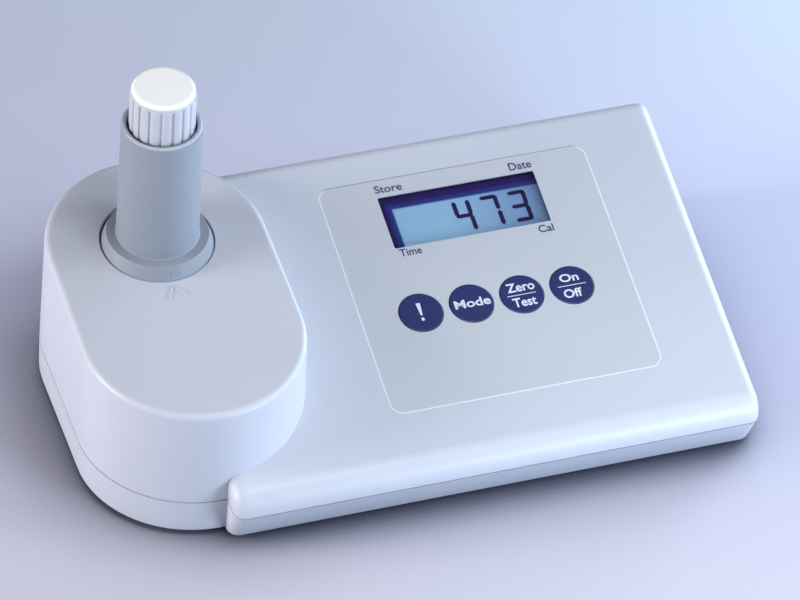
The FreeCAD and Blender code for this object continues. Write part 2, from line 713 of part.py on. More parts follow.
WELL_LEFT = f"well_middle - ({WELL_LONG})"
WELL_RIGHT = f"well_middle + ({WELL_LONG})"
WELL_FRONT = f"-well_front - ({WELL_HALF})"
WELL_BACK = f"-well_front + ({WELL_HALF})"
COVER_LEFT = f"{WELL_LEFT} - cover_ends"
COVER_RIGHT = f"{WELL_RIGHT} + cover_ends"
COVER_FRONT = f"{WELL_FRONT} - cover_sides"
COVER_BACK = f"{WELL_BACK} + cover_sides"
COVER_TOP = "foot_proud + cover_thick"
COVER_SEAT = "foot_proud + small_head_high"
HEAD_SEAT = "foot_proud + head_sunk + head_high"
LEDGE_TOP = "foot_proud + cover_thick + ledge_thick"
WELL_TOP = f"{COVER_TOP} + 2 * cell_radius + 2 * well_clear"
CELL_AXIS = f"{COVER_TOP} + cell_radius + well_clear"
COVER_SCREWS = [f"{COVER_LEFT} + cover_screw_inset", f"{COVER_RIGHT} - cover_screw_inset"]
COLLAR_LOW = "flange_seat - collar_high"
BLOCK_TOP = f"{COLLAR_LOW} - gasket_thick"
LEAD_X = f"({WELL_RIGHT} - contact_thick - lead_radius - seat_gap)"
LEAD_OUT = f"{MIDDLE_CELL} * cell_pitch - contact_half + lead_inset"
LEAD_PLACES = [f"-well_front - ({LEAD_OUT})", f"-well_front + ({LEAD_OUT})"]
BLOCK_LEFT = "-chamber_left - block_half"
BLOCK_RIGHT = "-chamber_left + block_half"
LUGS = [(f"-chamber_left {sign} lug_spread", side) for side in (1, -1) for sign in "-+"]
LUG_AT = "(block_half + lug_reach - lug_half)"
VIAL_LOW = "adapter_floor + adapter_base + seat_gap"
CAP_BORE = "(neck_radius + thread_depth + fit_gap)"
CAP_LOW = f"{VIAL_LOW} + vial_high + liner_thick + cap_top - cap_high"


# Upper shell

def make_upper_shell():
    console = console_form("console outside", 0, 0)
    round_console(console)
    block = chamber_form("chamber outside", 0, 0)
    round_chamber(block)
    inside = fuse([
        console_form("console inside", "shell_wall", "top_wall"),
        chamber_form("chamber inside", "shell_wall", "top_wall"),
    ])
    high = "2 * chamber_rise"
    standing = [cylinder(CHAMBER_X, "chamber_back", COLLAR_LOW, high, "sleeve_radius + collar_wall")]
    removed = [
        cylinder(CHAMBER_X, "chamber_back", "flange_seat", high, "adapter_flange + fit_gap"),
        cylinder(CHAMBER_X, "chamber_back", "0", high, "sleeve_radius + fit_gap"),
    ]
    for x, y in POSTS:
        standing.append(cylinder(x, y, "0", high, "post_radius"))
        removed.append(cylinder(x, y, "0", f"{HEAD_SEAT} + screw_length + screw_room",
                                "screw_radius + seat_gap"))
    for x, up in BOARD_BOSSES:
        standing.append(cylinder(x, up, BOARD_TOP, high, "boss_radius", panel=True))
        removed.append(cylinder(x, up, f"{BOARD_TOP} - {BEYOND}", f"{BOARD_TOP} + small_length",
                                "pilot_radius", panel=True))
    hollow = cut(fuse([console, block]), [cut(inside, standing)])
    return sub_part("upper_shell", cut(hollow, removed + panel_cuts()))


def panel_cuts():
    """Recesses of the console face: overlay, keypad circuit, window lens and its opening."""
    recess = plate("overlay recess", [lambda sketch: rounded_rectangle(
        sketch, "-panel_left - seat_gap", "panel_right + seat_gap", "-panel_low - seat_gap",
        "panel_high + seat_gap", "panel_round")], "-overlay_thick", BEYOND)
    on_panel(recess)
    lens = box("window_left - lens_rim - seat_gap", "window_right + lens_rim + seat_gap",
               "window_low - lens_rim - seat_gap", "window_high + lens_rim + seat_gap",
               "-overlay_thick - lens_thick", BEYOND, panel=True)
    opening = box(f"{GLASS_LEFT} - fit_gap", f"{GLASS_RIGHT} + fit_gap", f"{GLASS_LOW} - fit_gap",
                  f"{GLASS_HIGH} + fit_gap", "-2 * top_wall", "0", panel=True)
    circuit = box(f"{CIRCUIT_LEFT} - seat_gap", f"{CIRCUIT_RIGHT} + seat_gap",
                  f"{CIRCUIT_LOW} - seat_gap", f"{CIRCUIT_HIGH} + seat_gap",
                  CIRCUIT_UNDER, "0", panel=True)
    slot = box(f"{TAIL_LEFT} - fit_gap", f"{TAIL_RIGHT} + fit_gap", f"{TAIL_LOW} - fit_gap",
               f"{CIRCUIT_HIGH} + seat_gap", "-2 * top_wall", "0", panel=True)
    return [recess, lens, opening, circuit, slot]


# Base shell

def make_base_shell():
    outside = fuse([
        base_console_form("base outside", 0, SHELL_LOW),
        round_base(base_chamber_form("base chamber outside", 0, SHELL_LOW)),
    ])
    inner_floor = "foot_proud + floor_wall"
    inside = fuse([
        base_console_form("base inside", "shell_wall", inner_floor),
        base_chamber_form("base chamber inside", "shell_wall", inner_floor),
    ])
    standing = [box(f"{COVER_LEFT} - ledge_rim", f"{COVER_RIGHT} + ledge_rim",
                    f"{COVER_FRONT} - ledge_rim", f"{COVER_BACK} + ledge_rim", "0", LEDGE_TOP)]
    removed = [
        plate("cover recess", [cover_outline("fit_gap")], "0", f"{COVER_TOP} + seat_gap"),
        box(WELL_LEFT, WELL_RIGHT, WELL_FRONT, WELL_BACK, "0", WELL_TOP),
        cover_ring(COVER_TOP, f"{COVER_TOP} + seal_thick", "seat_gap"),
    ]
    for x, y in POSTS:
        standing.append(cylinder(x, y, "0", BASE_TOP, "post_radius"))
        removed.append(cylinder(x, y, "0", HEAD_SEAT, "head_radius + fit_gap"))
        removed.append(cylinder(x, y, "0", "parting_height", "screw_radius + fit_gap"))
    for x, y in FEET:
        removed.append(cylinder(x, y, "0", "foot_proud + foot_sunk", "foot_radius + seat_gap"))
    for x in COVER_SCREWS:
        tip = f"{COVER_SEAT} + small_length + screw_room"
        standing.append(cylinder(x, "-well_front", "0", f"{tip} + well_wall", "boss_radius"))
        removed.append(cylinder(x, "-well_front", "0", tip, "pilot_radius"))
    for x, side in LUGS:
        y = f"chamber_back + ({side}) * {LUG_AT}"
        standing.append(cylinder(x, y, "0", "block_foot", "boss_radius"))
        removed.append(cylinder(x, y, "foot_proud + pilot_floor", "parting_height", "pilot_radius"))
    for y in LEAD_PLACES:
        removed.append(cylinder(LEAD_X, y, COVER_TOP, "2 * parting_height", "lead_radius + fit_gap"))
    well = box(f"{WELL_LEFT} - well_wall", f"{WELL_RIGHT} + well_wall", f"{WELL_FRONT} - well_wall",
               f"{WELL_BACK} + well_wall", COVER_TOP, f"{WELL_TOP} + well_wall")
    shell = fuse([cut(outside, [cut(inside, standing)]), well])
    return sub_part("base_shell", cut(shell, removed))


def cover_outline(grow):
    """The battery cover's outline, let out all round by grow."""
    return lambda sketch: rounded_rectangle(
        sketch, f"{COVER_LEFT} - ({grow})", f"{COVER_RIGHT} + ({grow})",
        f"{COVER_FRONT} - ({grow})", f"{COVER_BACK} + ({grow})", f"cover_round + ({grow})")


def round_base(body):
    low = value(SHELL_LOW)
    fillet(body, "base_round", lambda edge: near(edge.BoundBox.ZMax, low))
    return body


def cover_ring(low, high, gap):
    """The ring between the battery well's mouth and the edge of its cover."""
    outer = "ring_inset + ring_width"

    def outline(grow):
        return lambda sketch: rounded_rectangle(
            sketch, f"{WELL_LEFT} - ({grow})", f"{WELL_RIGHT} + ({grow})",
            f"{WELL_FRONT} - ({grow})", f"{WELL_BACK} + ({grow})", "cover_round")

    return plate("cover ring", [outline(f"{outer} + {gap}"), outline(f"ring_inset - {gap}")], low, high)


# Seals, screws and feet of the housing

def make_shell_seal():
    outer = footprint_form("seal_inset", BASE_TOP, UPPER_LOW)
    inner = footprint_form("seal_inset + seal_width", BASE_TOP, UPPER_LOW)
    return sub_part("shell_seal", cut(outer, [inner]))


def screw(head_radius, head_high, shank_radius, length):
    """A pan head screw standing on its head, with a driver recess underneath."""
    body = turned("screw", [
        ("0", "0"), (head_radius, "0"), (head_radius, f"{head_high} * head_straight"),
        (f"{head_radius} * head_crown", head_high), (shank_radius, head_high),
        (shank_radius, f"{head_high} + {length} - {shank_radius}"),
        (f"{shank_radius} * screw_tip", f"{head_high} + {length}"), ("0", f"{head_high} + {length}"),
    ])
    recess = sketch_on(body, "XY_Plane")
    arm = f"({head_radius} * recess_arm)"
    blade = f"({head_radius} * recess_blade)"
    polygon(recess, [
        (f"-{blade}", f"-{arm}"), (blade, f"-{arm}"), (blade, f"-{blade}"), (arm, f"-{blade}"),
        (arm, blade), (blade, blade), (blade, arm), (f"-{blade}", arm), (f"-{blade}", blade),
        (f"-{arm}", blade), (f"-{arm}", f"-{blade}"), (f"-{blade}", f"-{blade}"),
    ])
    pocket(body, recess, f"{head_high} * recess_deep", backwards=True)
    return body


def make_housing_screws():
    screws = [
        place(screw("head_radius", "head_high", "screw_radius", "screw_length"), x, y,
              f"{HEAD_SEAT} - head_high - seat_gap")
        for x, y in POSTS
    ]
    return sub_part("housing_screws", group(screws))


def make_rubber_feet():
    feet = []
    for x, y in FEET:
        foot = turned("foot", [
            ("0", "0"), ("foot_radius - foot_edge", "0"), ("foot_radius", "foot_edge"),
            ("foot_radius", "foot_proud + foot_sunk"), ("0", "foot_proud + foot_sunk"),
        ])
        feet.append(place(foot, x, y))
    return sub_part("rubber_feet", group(feet))


# Keypad, display and circuit board

def make_keypad_overlay():
    outlines = [lambda sketch: rounded_rectangle(
        sketch, "-panel_left", "panel_right", "-panel_low", "panel_high", "panel_round")]
    outlines.append(lambda sketch: rounded_rectangle(
        sketch, "window_left", "window_right", "window_low", "window_high", "window_round"))
    for label, x in KEY_PLACES:
        outlines.append(lambda sketch, x=x: circle(sketch, x, "-key_low", "key_radius + key_gap"))
    body = plate("keypad_overlay", outlines, "-overlay_thick", "0")
    return sub_part("keypad_overlay", on_panel(body))


def make_keys():
    for label, x in KEY_PLACES:
        key = turned(label, [
            ("0", "key_proud - key_thick"), ("key_radius", "key_proud - key_thick"),
            ("key_radius", "key_proud - key_edge"), ("key_radius - key_bevel", "key_proud"),
            ("0", "key_proud"),
        ])
        sub_part(label, on_panel(key, x, "-key_low"))


def make_keypad_circuit():
    outlines = [lambda sketch: rounded_rectangle(
        sketch, CIRCUIT_LEFT, CIRCUIT_RIGHT, CIRCUIT_LOW, CIRCUIT_HIGH, "circuit_round")]
    body = plate("circuit", outlines, CIRCUIT_UNDER, "-overlay_thick")
    pockets = sketch_on(body, "XY_Plane", "-overlay_thick")
    for label, x in KEY_PLACES:
        circle(pockets, x, "-key_low", "key_radius + key_gap")
    pocket(body, pockets, f"-overlay_thick - {DOME_REST}")
    on_panel(body)
    tail = box(TAIL_LEFT, TAIL_RIGHT, TAIL_LOW, CIRCUIT_HIGH, f"{BOARD_TOP} + connector_high",
               f"{CIRCUIT_UNDER} + circuit_thick / 2", panel=True)
    return sub_part("keypad_circuit", fuse([body, tail]))


def make_snap_domes():
    domes = []
    for label, x in KEY_PLACES:
        dome = turned("dome", [
            ("dome_radius", "0"), ("dome_radius", "dome_sheet"),
            ("dome_radius * dome_shoulder", "dome_high * dome_shoulder_high"),
            ("dome_radius * dome_crown", "dome_high"),
            ("0", "dome_high"), ("0", "dome_high - dome_sheet"),
            ("dome_radius * dome_crown", "dome_high - dome_sheet"),
            ("dome_radius * dome_shoulder - dome_sheet",
             "dome_high * dome_shoulder_high - dome_sheet"),
            ("dome_radius - dome_sheet", "0"),
        ])
        domes.append(on_panel(dome, x, "-key_low", DOME_REST))
    return sub_part("snap_domes", group(domes))


def make_display():
    rim = box("window_left - lens_rim", "window_right + lens_rim", "window_low - lens_rim",
              "window_high + lens_rim", "-overlay_thick - lens_thick", "-overlay_thick", panel=True)
    face = plate("lens face", [lambda sketch: rounded_rectangle(
        sketch, "window_left + seat_gap", "window_right - seat_gap", "window_low + seat_gap",
        "window_high - seat_gap", "window_round")], "-overlay_thick - lens_thick", "0")
    sub_part("display_window", fuse([rim, on_panel(face)]))
    area = (GLASS_LEFT, GLASS_RIGHT, GLASS_LOW, GLASS_HIGH)
    light_under = f"({GLASS_UNDER} - light_thick)"
    glass = box(*area, GLASS_UNDER, "-glass_depth", panel=True)
    sub_part("lcd_glass", glass)
    light = box(*area, light_under, GLASS_UNDER, panel=True)
    sub_part("lcd_backlight", light)
    tray = box(f"{GLASS_LEFT} - bezel_wall", f"{GLASS_RIGHT} + bezel_wall",
               f"{GLASS_LOW} - bezel_wall", f"{GLASS_HIGH} + bezel_wall", BOARD_TOP,
               "-top_wall - seat_gap", panel=True)
    seat = box(f"{GLASS_LEFT} - seat_gap", f"{GLASS_RIGHT} + seat_gap", f"{GLASS_LOW} - seat_gap",
               f"{GLASS_HIGH} + seat_gap", light_under, "0", panel=True)
    hollow = box(*area, f"{BOARD_TOP} - {BEYOND}", f"{light_under} - bezel_floor", panel=True)
    sub_part("lcd_bezel", cut(tray, [seat, hollow]))


def make_circuit_board():
    outlines = [lambda sketch: rounded_rectangle(
        sketch, "-board_left", "board_right", "-board_low", "board_high", "board_round")]
    for x, up in BOARD_BOSSES:
        outlines.append(lambda sketch, x=x, up=up: circle(sketch, x, up, "small_screw + fit_gap"))
    board = plate("circuit_board", outlines, BOARD_UNDER, BOARD_TOP)
    sub_part("circuit_board", on_panel(board))
    screws = []
    for x, up in BOARD_BOSSES:
        item = screw("small_head", "small_head_high", "small_screw", "small_length")
        screws.append(on_panel(item, x, up, f"{BOARD_UNDER} - small_head_high"))
    sub_part("board_screws", group(screws))


def make_board_parts():
    """Parts soldered to the board's upper and lower faces."""
    chip = box("chip_left", "chip_left + chip_side", "-chip_side / 2", "chip_side / 2", BOARD_TOP,
               f"{BOARD_TOP} + chip_thick", panel=True)
    sub_part("microcontroller", chip)
    sounder = turned("buzzer", [
        ("0", "0"), ("buzzer_radius", "0"), ("buzzer_radius", "buzzer_high - buzzer_bevel"),
        ("buzzer_radius - buzzer_bevel", "buzzer_high"), ("port_radius", "buzzer_high"),
        ("port_radius", "buzzer_high - port_deep"), ("0", "buzzer_high - port_deep"),
    ])
    sub_part("buzzer", on_panel(sounder, "buzzer_right", "-buzzer_low", BOARD_TOP))
    socket = box(f"{TAIL_LEFT} - connector_rim", f"{TAIL_RIGHT} + connector_rim",
                 f"{TAIL_LOW} - connector_deep", f"{CIRCUIT_HIGH} + connector_deep", BOARD_TOP,
                 f"{BOARD_TOP} + connector_high", panel=True)
    sub_part("keypad_connector", socket)


# Measuring chamber and optics

def make_sample_chamber():
    block = plate("block", [lambda sketch: rounded_rectangle(
        sketch, BLOCK_LEFT, BLOCK_RIGHT, "chamber_back - block_half", "chamber_back + block_half",
        "block_round")], "block_foot", BLOCK_TOP)
    lugs = []
    for x, side in LUGS:
        y = f"chamber_back + ({side}) * {LUG_AT}"
        lugs.append(cylinder(x, y, "block_foot", "block_foot + lug_thick", "lug_half"))
        inner = f"chamber_back + ({side}) * (block_half - lug_root)"
        near_y, far_y = (inner, y) if side > 0 else (y, inner)
        lugs.append(box(f"{x} - lug_half", f"{x} + lug_half", near_y, far_y, "block_foot",
                        "block_foot + lug_thick"))
    holes = [
        cylinder(x, f"chamber_back + ({side}) * {LUG_AT}", "0", "block_foot + 2 * lug_thick",
                 "small_screw + fit_gap")
        for x, side in LUGS
    ]
    bore = cylinder(CHAMBER_X, "chamber_back", "block_floor", f"{BLOCK_TOP} + {BEYOND}",
                    "sleeve_radius + block_gap")
    beam = cross_cylinder(f"{BLOCK_LEFT} - {BEYOND}", f"{BLOCK_RIGHT} + {BEYOND}", "chamber_back",
                          "beam_height", "beam_radius")
    lamp_hole = cross_cylinder(f"{BLOCK_LEFT} - {BEYOND}", f"{BLOCK_LEFT} + lamp_seat",
                               "chamber_back", "beam_height", "lamp_sleeve + seat_gap")
    filter_hole = cross_cylinder(f"{BLOCK_RIGHT} - filter_thick", f"{BLOCK_RIGHT} + {BEYOND}",
                                 "chamber_back", "beam_height", "filter_radius + seat_gap")
    return sub_part("sample_chamber", cut(fuse([block] + lugs),
                                          [bore, beam, lamp_hole, filter_hole] + holes))


def make_chamber_screws():
    screws = []
    for x, side in LUGS:
        item = screw("small_head", "small_head_high", "small_screw", "small_length")
        turn(item, Vector(1, 0, 0), 180)
        y = f"chamber_back + ({side}) * {LUG_AT}"
        screws.append(place(item, x, y, "block_foot + lug_thick + small_head_high"))
    return sub_part("chamber_screws", group(screws))


def make_chamber_gasket():
    """Foam ring that keeps daylight out between the chamber block and the upper shell."""
    inner = "sleeve_radius + block_gap + gasket_inset"
    outer = "block_half - gasket_inset"
    ring = turned("chamber_gasket", [
        (inner, "0"), (outer, "0"), (outer, "gasket_thick"), (inner, "gasket_thick"),
    ])
    return sub_part("chamber_gasket", place(ring, CHAMBER_X, "chamber_back", BLOCK_TOP))


def make_optics():
    beam = ("chamber_back", "beam_height")
    lens = cross_cylinder(f"{BLOCK_RIGHT} - filter_thick", BLOCK_RIGHT, *beam, "filter_radius")
    sub_part("interference_filter", lens)
    sleeve_low = f"{BLOCK_LEFT} + lamp_seat - lamp_sleeve_long"
    sleeve = cross_cylinder(sleeve_low, f"{BLOCK_LEFT} + lamp_seat", *beam, "lamp_sleeve")
    sleeve_bore = cross_cylinder(f"{sleeve_low} - {BEYOND}", f"{BLOCK_LEFT} + 2 * lamp_seat", *beam,
                                 "lamp_radius + seat_gap")
    sub_part("lamp_holder", cut(sleeve, [sleeve_bore]))
    lamp = cross_cylinder(sleeve_low, f"{sleeve_low} + lamp_length - lamp_radius", *beam,
                          "lamp_radius")
    dome = doc.addObject("Part::Sphere", "Dome")
    bind(dome, "Radius", "lamp_radius")
    place(dome, f"{sleeve_low} + lamp_length - lamp_radius", *beam)
    sub_part("light_diode", fuse([lamp, dome]))
    lamp_board = box(f"{sleeve_low} - board_thick", sleeve_low, "chamber_back - small_board",
                     "chamber_back + small_board", "beam_height - small_board",
                     "beam_height + small_board")
    sub_part("lamp_board", lamp_board)
    holder = box(BLOCK_RIGHT, f"{BLOCK_RIGHT} + holder_thick", "chamber_back - holder_half",
                 "chamber_back + holder_half", "beam_height - holder_half",
                 "beam_height + holder_half")
    holder_bore = cross_cylinder(f"{BLOCK_RIGHT} - {BEYOND}", f"{BLOCK_RIGHT} + 2 * holder_thick",
                                 *beam, "diode_radius + seat_gap")
    sub_part("photodiode_holder", cut(holder, [holder_bore]))
    diode_right = f"{BLOCK_RIGHT} + holder_thick"
    diode = cross_cylinder(f"{diode_right} - diode_thick", diode_right, *beam, "diode_radius")
    sub_part("photodiode", diode)
    sensor_board = box(diode_right, f"{diode_right} + board_thick", "chamber_back - small_board",
                       "chamber_back + small_board", "beam_height - small_board",
                       "beam_height + small_board")
    sub_part("sensor_board", sensor_board)


# Vial adapter, vial and cap

def make_vial_adapter():
    mouth = "cap_radius + cap_bead + cap_space"
    rim = "flange_seat + tube_high"
    body = turned("adapter", [
        ("adapter_hole", "adapter_floor"), ("sleeve_radius - adapter_bevel", "adapter_floor"),
        ("sleeve_radius", "adapter_floor + adapter_bevel"), ("sleeve_radius", "flange_seat"),
        ("adapter_flange", "flange_seat"), ("flange_neck", "flange_seat + flange_high"),
        ("tube_foot + tube_step / 2", "flange_seat + flange_high + tube_step / 2"),
        ("tube_foot", "flange_seat + flange_high + tube_step"),
        ("tube_rim", f"{rim} - adapter_bevel"), ("tube_rim - adapter_bevel", rim),
        (f"{mouth} + adapter_bevel", rim), (mouth, f"{rim} - adapter_bevel"),
        (mouth, f"{rim} - mouth_depth"),
        ("vial_radius + vial_gap", f"{rim} - mouth_depth - mouth_cone"),
        ("vial_radius + vial_gap", "adapter_floor + adapter_base"),
        ("adapter_hole", "adapter_floor + adapter_base"),
    ])
    place(body, CHAMBER_X, "chamber_back")
    beam = cross_cylinder(f"{CHAMBER_X} - 2 * sleeve_radius", f"{CHAMBER_X} + 2 * sleeve_radius",
                          "chamber_back", "beam_height", "beam_radius")
    return sub_part("vial_adapter", cut(body, [beam]))


def thread_ridge(radius, crest, low):
    """A helical ridge that stands on a radius and reaches to its crest."""
    path = doc.addObject("Part::Helix", "Helix")
    bind(path, "Pitch", "thread_pitch")
    bind(path, "Height", "thread_pitch * thread_turns")
    bind(path, "Radius", radius)
    section = doc.addObject("Sketcher::SketchObject", "Section")
    turn(section, Vector(1, 0, 0), 90)
    root = f"{radius} - thread_root * ({crest} - ({radius})) / thread_depth"
    polygon(section, [
        (root, "-thread_pitch * thread_foot"), (crest, "-thread_pitch * thread_crest"),
        (crest, "thread_pitch * thread_crest"), (root, "thread_pitch * thread_foot"),
    ])
    ridge = doc.addObject("Part::Sweep", "Ridge")
    ridge.Sections = [section]
    ridge.Spine = path
    ridge.Solid = True
    ridge.Frenet = True
    return place(ridge, 0, 0, low)


def make_vial():
    inner = "vial_radius - vial_wall"
    neck = "neck_radius - vial_wall"
    cone_low = "vial_shoulder - vial_wall / 2"
    part_way = "vial_corner * (1 - sin(45))"
    glass = turned("glass", [
        ("0", "0"), ("vial_radius - vial_corner", "0"), (f"vial_radius - {part_way}", part_way),
        ("vial_radius", "vial_corner"), ("vial_radius", "vial_shoulder"),
        ("neck_radius", "vial_shoulder + shoulder_high"),
        ("neck_radius", "vial_high - lip_bevel"), ("neck_radius - lip_bevel", "vial_high"),
        (f"{neck} + lip_bevel / 2", "vial_high"), (neck, "vial_high - lip_bevel / 2"),
        (neck, f"{cone_low} + shoulder_high"), (inner, cone_low),
        (inner, "vial_base + vial_corner"), (f"{inner} - vial_corner", "vial_base"),
        ("0", "vial_base"),
    ])
    ridge = thread_ridge("neck_radius", "neck_radius + thread_depth", "thread_start")
    vial = fuse([glass, ridge])
    return sub_part("vial", place(vial, CHAMBER_X, "chamber_back", VIAL_LOW))


def make_vial_cap():
    body = turned("cap", [
        (CAP_BORE, "0"), ("cap_radius + cap_bead", "0"), ("cap_radius + cap_bead", "bead_high"),
        ("cap_radius", "bead_high + cap_bead"), ("cap_radius", "cap_high"), ("0", "cap_high"),
        ("0", "cap_high - cap_top"), (CAP_BORE, "cap_high - cap_top"),
    ])
    high = value("cap_high")
    fillet(body, "cap_round", lambda edge: near(edge.BoundBox.ZMin, high))
    flute = sketch_on(body, "XY_Plane", "flute_start")
    circle(flute, "cap_radius + flute_radius / 2", "0", "flute_radius")
    groove = pocket(body, flute, "cap_high - cap_round - flute_start - flute_end", backwards=True)
    pattern = body.newObject("PartDesign::PolarPattern", "PolarPattern")
    pattern.Originals = [groove]
    axis = next(item for item in body.Origin.OriginFeatures if item.Role == "Z_Axis")
    pattern.Axis = (axis, [""])
    pattern.Angle = 360
    bind(pattern, "Occurrences", "cap_flutes")
    body.Tip = pattern
    doc.recompute()
    low = "thread_start - thread_pitch / 2 - (vial_high + liner_thick + cap_top - cap_high)"
    ridge = thread_ridge(CAP_BORE, f"{CAP_BORE} - thread_depth", low)
    cap = fuse([body, ridge])
    return sub_part("vial_cap", place(cap, CHAMBER_X, "chamber_back", CAP_LOW))


def make_cap_liner():
    disc = cylinder(CHAMBER_X, "chamber_back", f"{VIAL_LOW} + vial_high + seat_gap",
                    f"{VIAL_LOW} + vial_high + liner_thick - seat_gap", "neck_radius + thread_depth")
    return sub_part("cap_liner", disc)


# Batteries

def cell_at(row):
    """Place of a cell's axis in the housing's depth."""
    return f"(-well_front + ({row - MIDDLE_CELL}) * cell_pitch)"


def make_battery_cells():
    cells = []
    whole = "(cell_length + stud_high)"
    for row in range(CELLS):
        cell = turned("cell", [
            ("0", "0"), ("cell_radius - cell_bevel", "0"), ("cell_radius", "cell_bevel"),
            ("cell_radius", "cell_length - cell_bevel"),
            ("cell_radius - cell_bevel", "cell_length"),
            ("cell_stud", "cell_length"), ("cell_stud", whole), ("0", whole),
        ])
        way = 1 if row % 2 else -1
        turn(cell, Vector(0, 1, 0), 90 * way)
        cells.append(place(cell, f"well_middle - ({way}) * {whole} / 2", cell_at(row), CELL_AXIS))
    return sub_part("battery_cells", group(cells))


def make_battery_contacts():
    """Plates at both ends of the cells, with a spring at each base and a stub at each stud."""
    reach = "(contact_room - contact_thick)"
    plates = []
    for side, rows in ((-1, (0, 1)), (-1, (2, 3)), (1, (0,)), (1, (1, 2)), (1, (3,))):
        wall = WELL_LEFT if side < 0 else WELL_RIGHT
        inner = f"{wall} - ({side}) * contact_thick"
        low, high = (wall, inner) if side < 0 else (inner, wall)
        front = f"{cell_at(rows[0])} - contact_half"
        back = f"{cell_at(rows[-1])} + contact_half"
        pieces = [box(low, high, front, back, f"{COVER_TOP} + contact_inset",
                      f"{WELL_TOP} - contact_inset")]
        for row in rows:
            spring = doc.addObject("Part::Cone", "Spring")
            at_base = (row % 2 == 1) == (side < 0)
            bind(spring, "Radius1", "spring_foot" if at_base else "cell_stud")
            bind(spring, "Radius2", "spring_tip" if at_base else "stub_tip")
            bind(spring, "Height", reach)
            turn(spring, Vector(0, 1, 0), -90 * side)
            pieces.append(place(spring, inner, cell_at(row), CELL_AXIS))
        plates.append(fuse(pieces))
    return sub_part("battery_contacts", group(plates))


def make_battery_leads():
    """Two leads from the outer contacts through the well's roof to the circuit board."""
    leads = []
    for y in LEAD_PLACES:
        board = f"{console_at(y)} - (board_depth + board_thick) / cos(console_slope) - fit_gap"
        leads.append(cylinder(LEAD_X, y, f"{CELL_AXIS} + cell_radius / 2", board, "lead_radius"))
    return sub_part("battery_leads", group(leads))


def make_sensor_leads():
    """Ribbon from the sensor board's socket to the circuit board's left edge."""
    face = f"{BLOCK_RIGHT} + holder_thick + board_thick"
    plug_low = "beam_height + plug_up"
    socket = box(face, f"{face} + plug_thick", "chamber_back - plug_half",
                 "chamber_back + plug_half", plug_low, f"{plug_low} + plug_high")
    bend = f"{face} + plug_thick / 2"
    riser = box(f"{bend} - ribbon_thick", f"{bend} + ribbon_thick", "chamber_back - ribbon_half",
                "chamber_back + ribbon_half", f"{plug_low} + plug_high / 2",
                f"{console_at('chamber_back')} - board_depth")
    up = "(chamber_back / cos(console_slope) - board_depth * tan(console_slope))"
    ribbon = box(bend, "-board_left + ribbon_reach", f"{up} - ribbon_half", f"{up} + ribbon_half",
                 BOARD_TOP, f"{BOARD_TOP} + ribbon_thick", panel=True)
    return sub_part("sensor_leads", fuse([socket, riser, ribbon]))


def make_battery_cover():
    body = plate("cover plate", [cover_outline(0)], SHELL_LOW, COVER_TOP)
    holes = []
    for x in COVER_SCREWS:
        holes.append(cylinder(x, "-well_front", "0", COVER_SEAT, "small_head + seat_gap"))
        holes.append(cylinder(x, "-well_front", "0", "parting_height", "small_screw + fit_gap"))
    sub_part("battery_cover", cut(body, holes))
    sub_part("cover_seal", cover_ring(f"{COVER_TOP} + seat_gap", f"{COVER_TOP} + seal_thick", 0))
    screws = [
        place(screw("small_head", "small_head_high", "small_screw", "small_length"), x,
              "-well_front", SHELL_LOW)
        for x in COVER_SCREWS
    ]
    sub_part("cover_screws", group(screws))


def check_and_write():
    doc.recompute()
    for item in doc.Objects:
        if "Invalid" in item.State or "Error" in item.State:
            raise RuntimeError(f"{item.Name} ({item.Label}) failed: {item.State}")
    os.makedirs("parts", exist_ok=True)
    for item in SUB_PARTS:
        shape = item.Shape
        if shape.isNull() or not shape.isValid() or not shape.Solids:
            raise RuntimeError(f"{item.Label} has no valid solid")
        shape.exportStep(os.path.join("parts", f"{item.Label}.step"))
        print(f"{item.Label}: {len(shape.Solids)} solids, {shape.Volume:.1f} mm3")


make_upper_shell()
make_base_shell()
make_shell_seal()
make_housing_screws()
make_rubber_feet()
make_keypad_overlay()
make_keys()
make_keypad_circuit()
make_snap_domes()
make_display()
make_circuit_board()
make_board_parts()
make_sample_chamber()
make_chamber_screws()
make_chamber_gasket()
make_optics()
make_vial_adapter()
make_vial()
make_vial_cap()
make_cap_liner()
make_battery_cells()
make_battery_contacts()
make_battery_leads()
make_sensor_leads()
make_battery_cover()
check_and_write()
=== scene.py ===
"""Looks of a bench photometer for capped vials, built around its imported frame.

Each operator dresses one piece, or one group of like pieces; main() calls them in order.
"""

from math import atan2, cos, pi, radians, sin, tan

import bmesh
import bpy
from bpy.props import FloatProperty, FloatVectorProperty, IntProperty, PointerProperty
from mathutils import Matrix, Vector


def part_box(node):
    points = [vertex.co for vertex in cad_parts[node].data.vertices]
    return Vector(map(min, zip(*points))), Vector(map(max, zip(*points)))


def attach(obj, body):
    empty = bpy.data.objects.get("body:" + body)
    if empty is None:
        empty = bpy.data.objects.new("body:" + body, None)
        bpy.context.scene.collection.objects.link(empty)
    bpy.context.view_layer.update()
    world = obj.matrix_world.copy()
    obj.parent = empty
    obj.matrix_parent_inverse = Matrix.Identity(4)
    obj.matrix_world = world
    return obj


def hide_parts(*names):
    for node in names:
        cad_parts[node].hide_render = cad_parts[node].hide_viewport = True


bl_info = {
    "name": "Bench Photometer",
    "version": (1, 0, 0),
    "blender": (4, 5, 0),
    "location": "View3D > Sidebar > Photometer",
    "description": "Finishes, lettering, display and light for a bench photometer",
    "category": "Object",
}

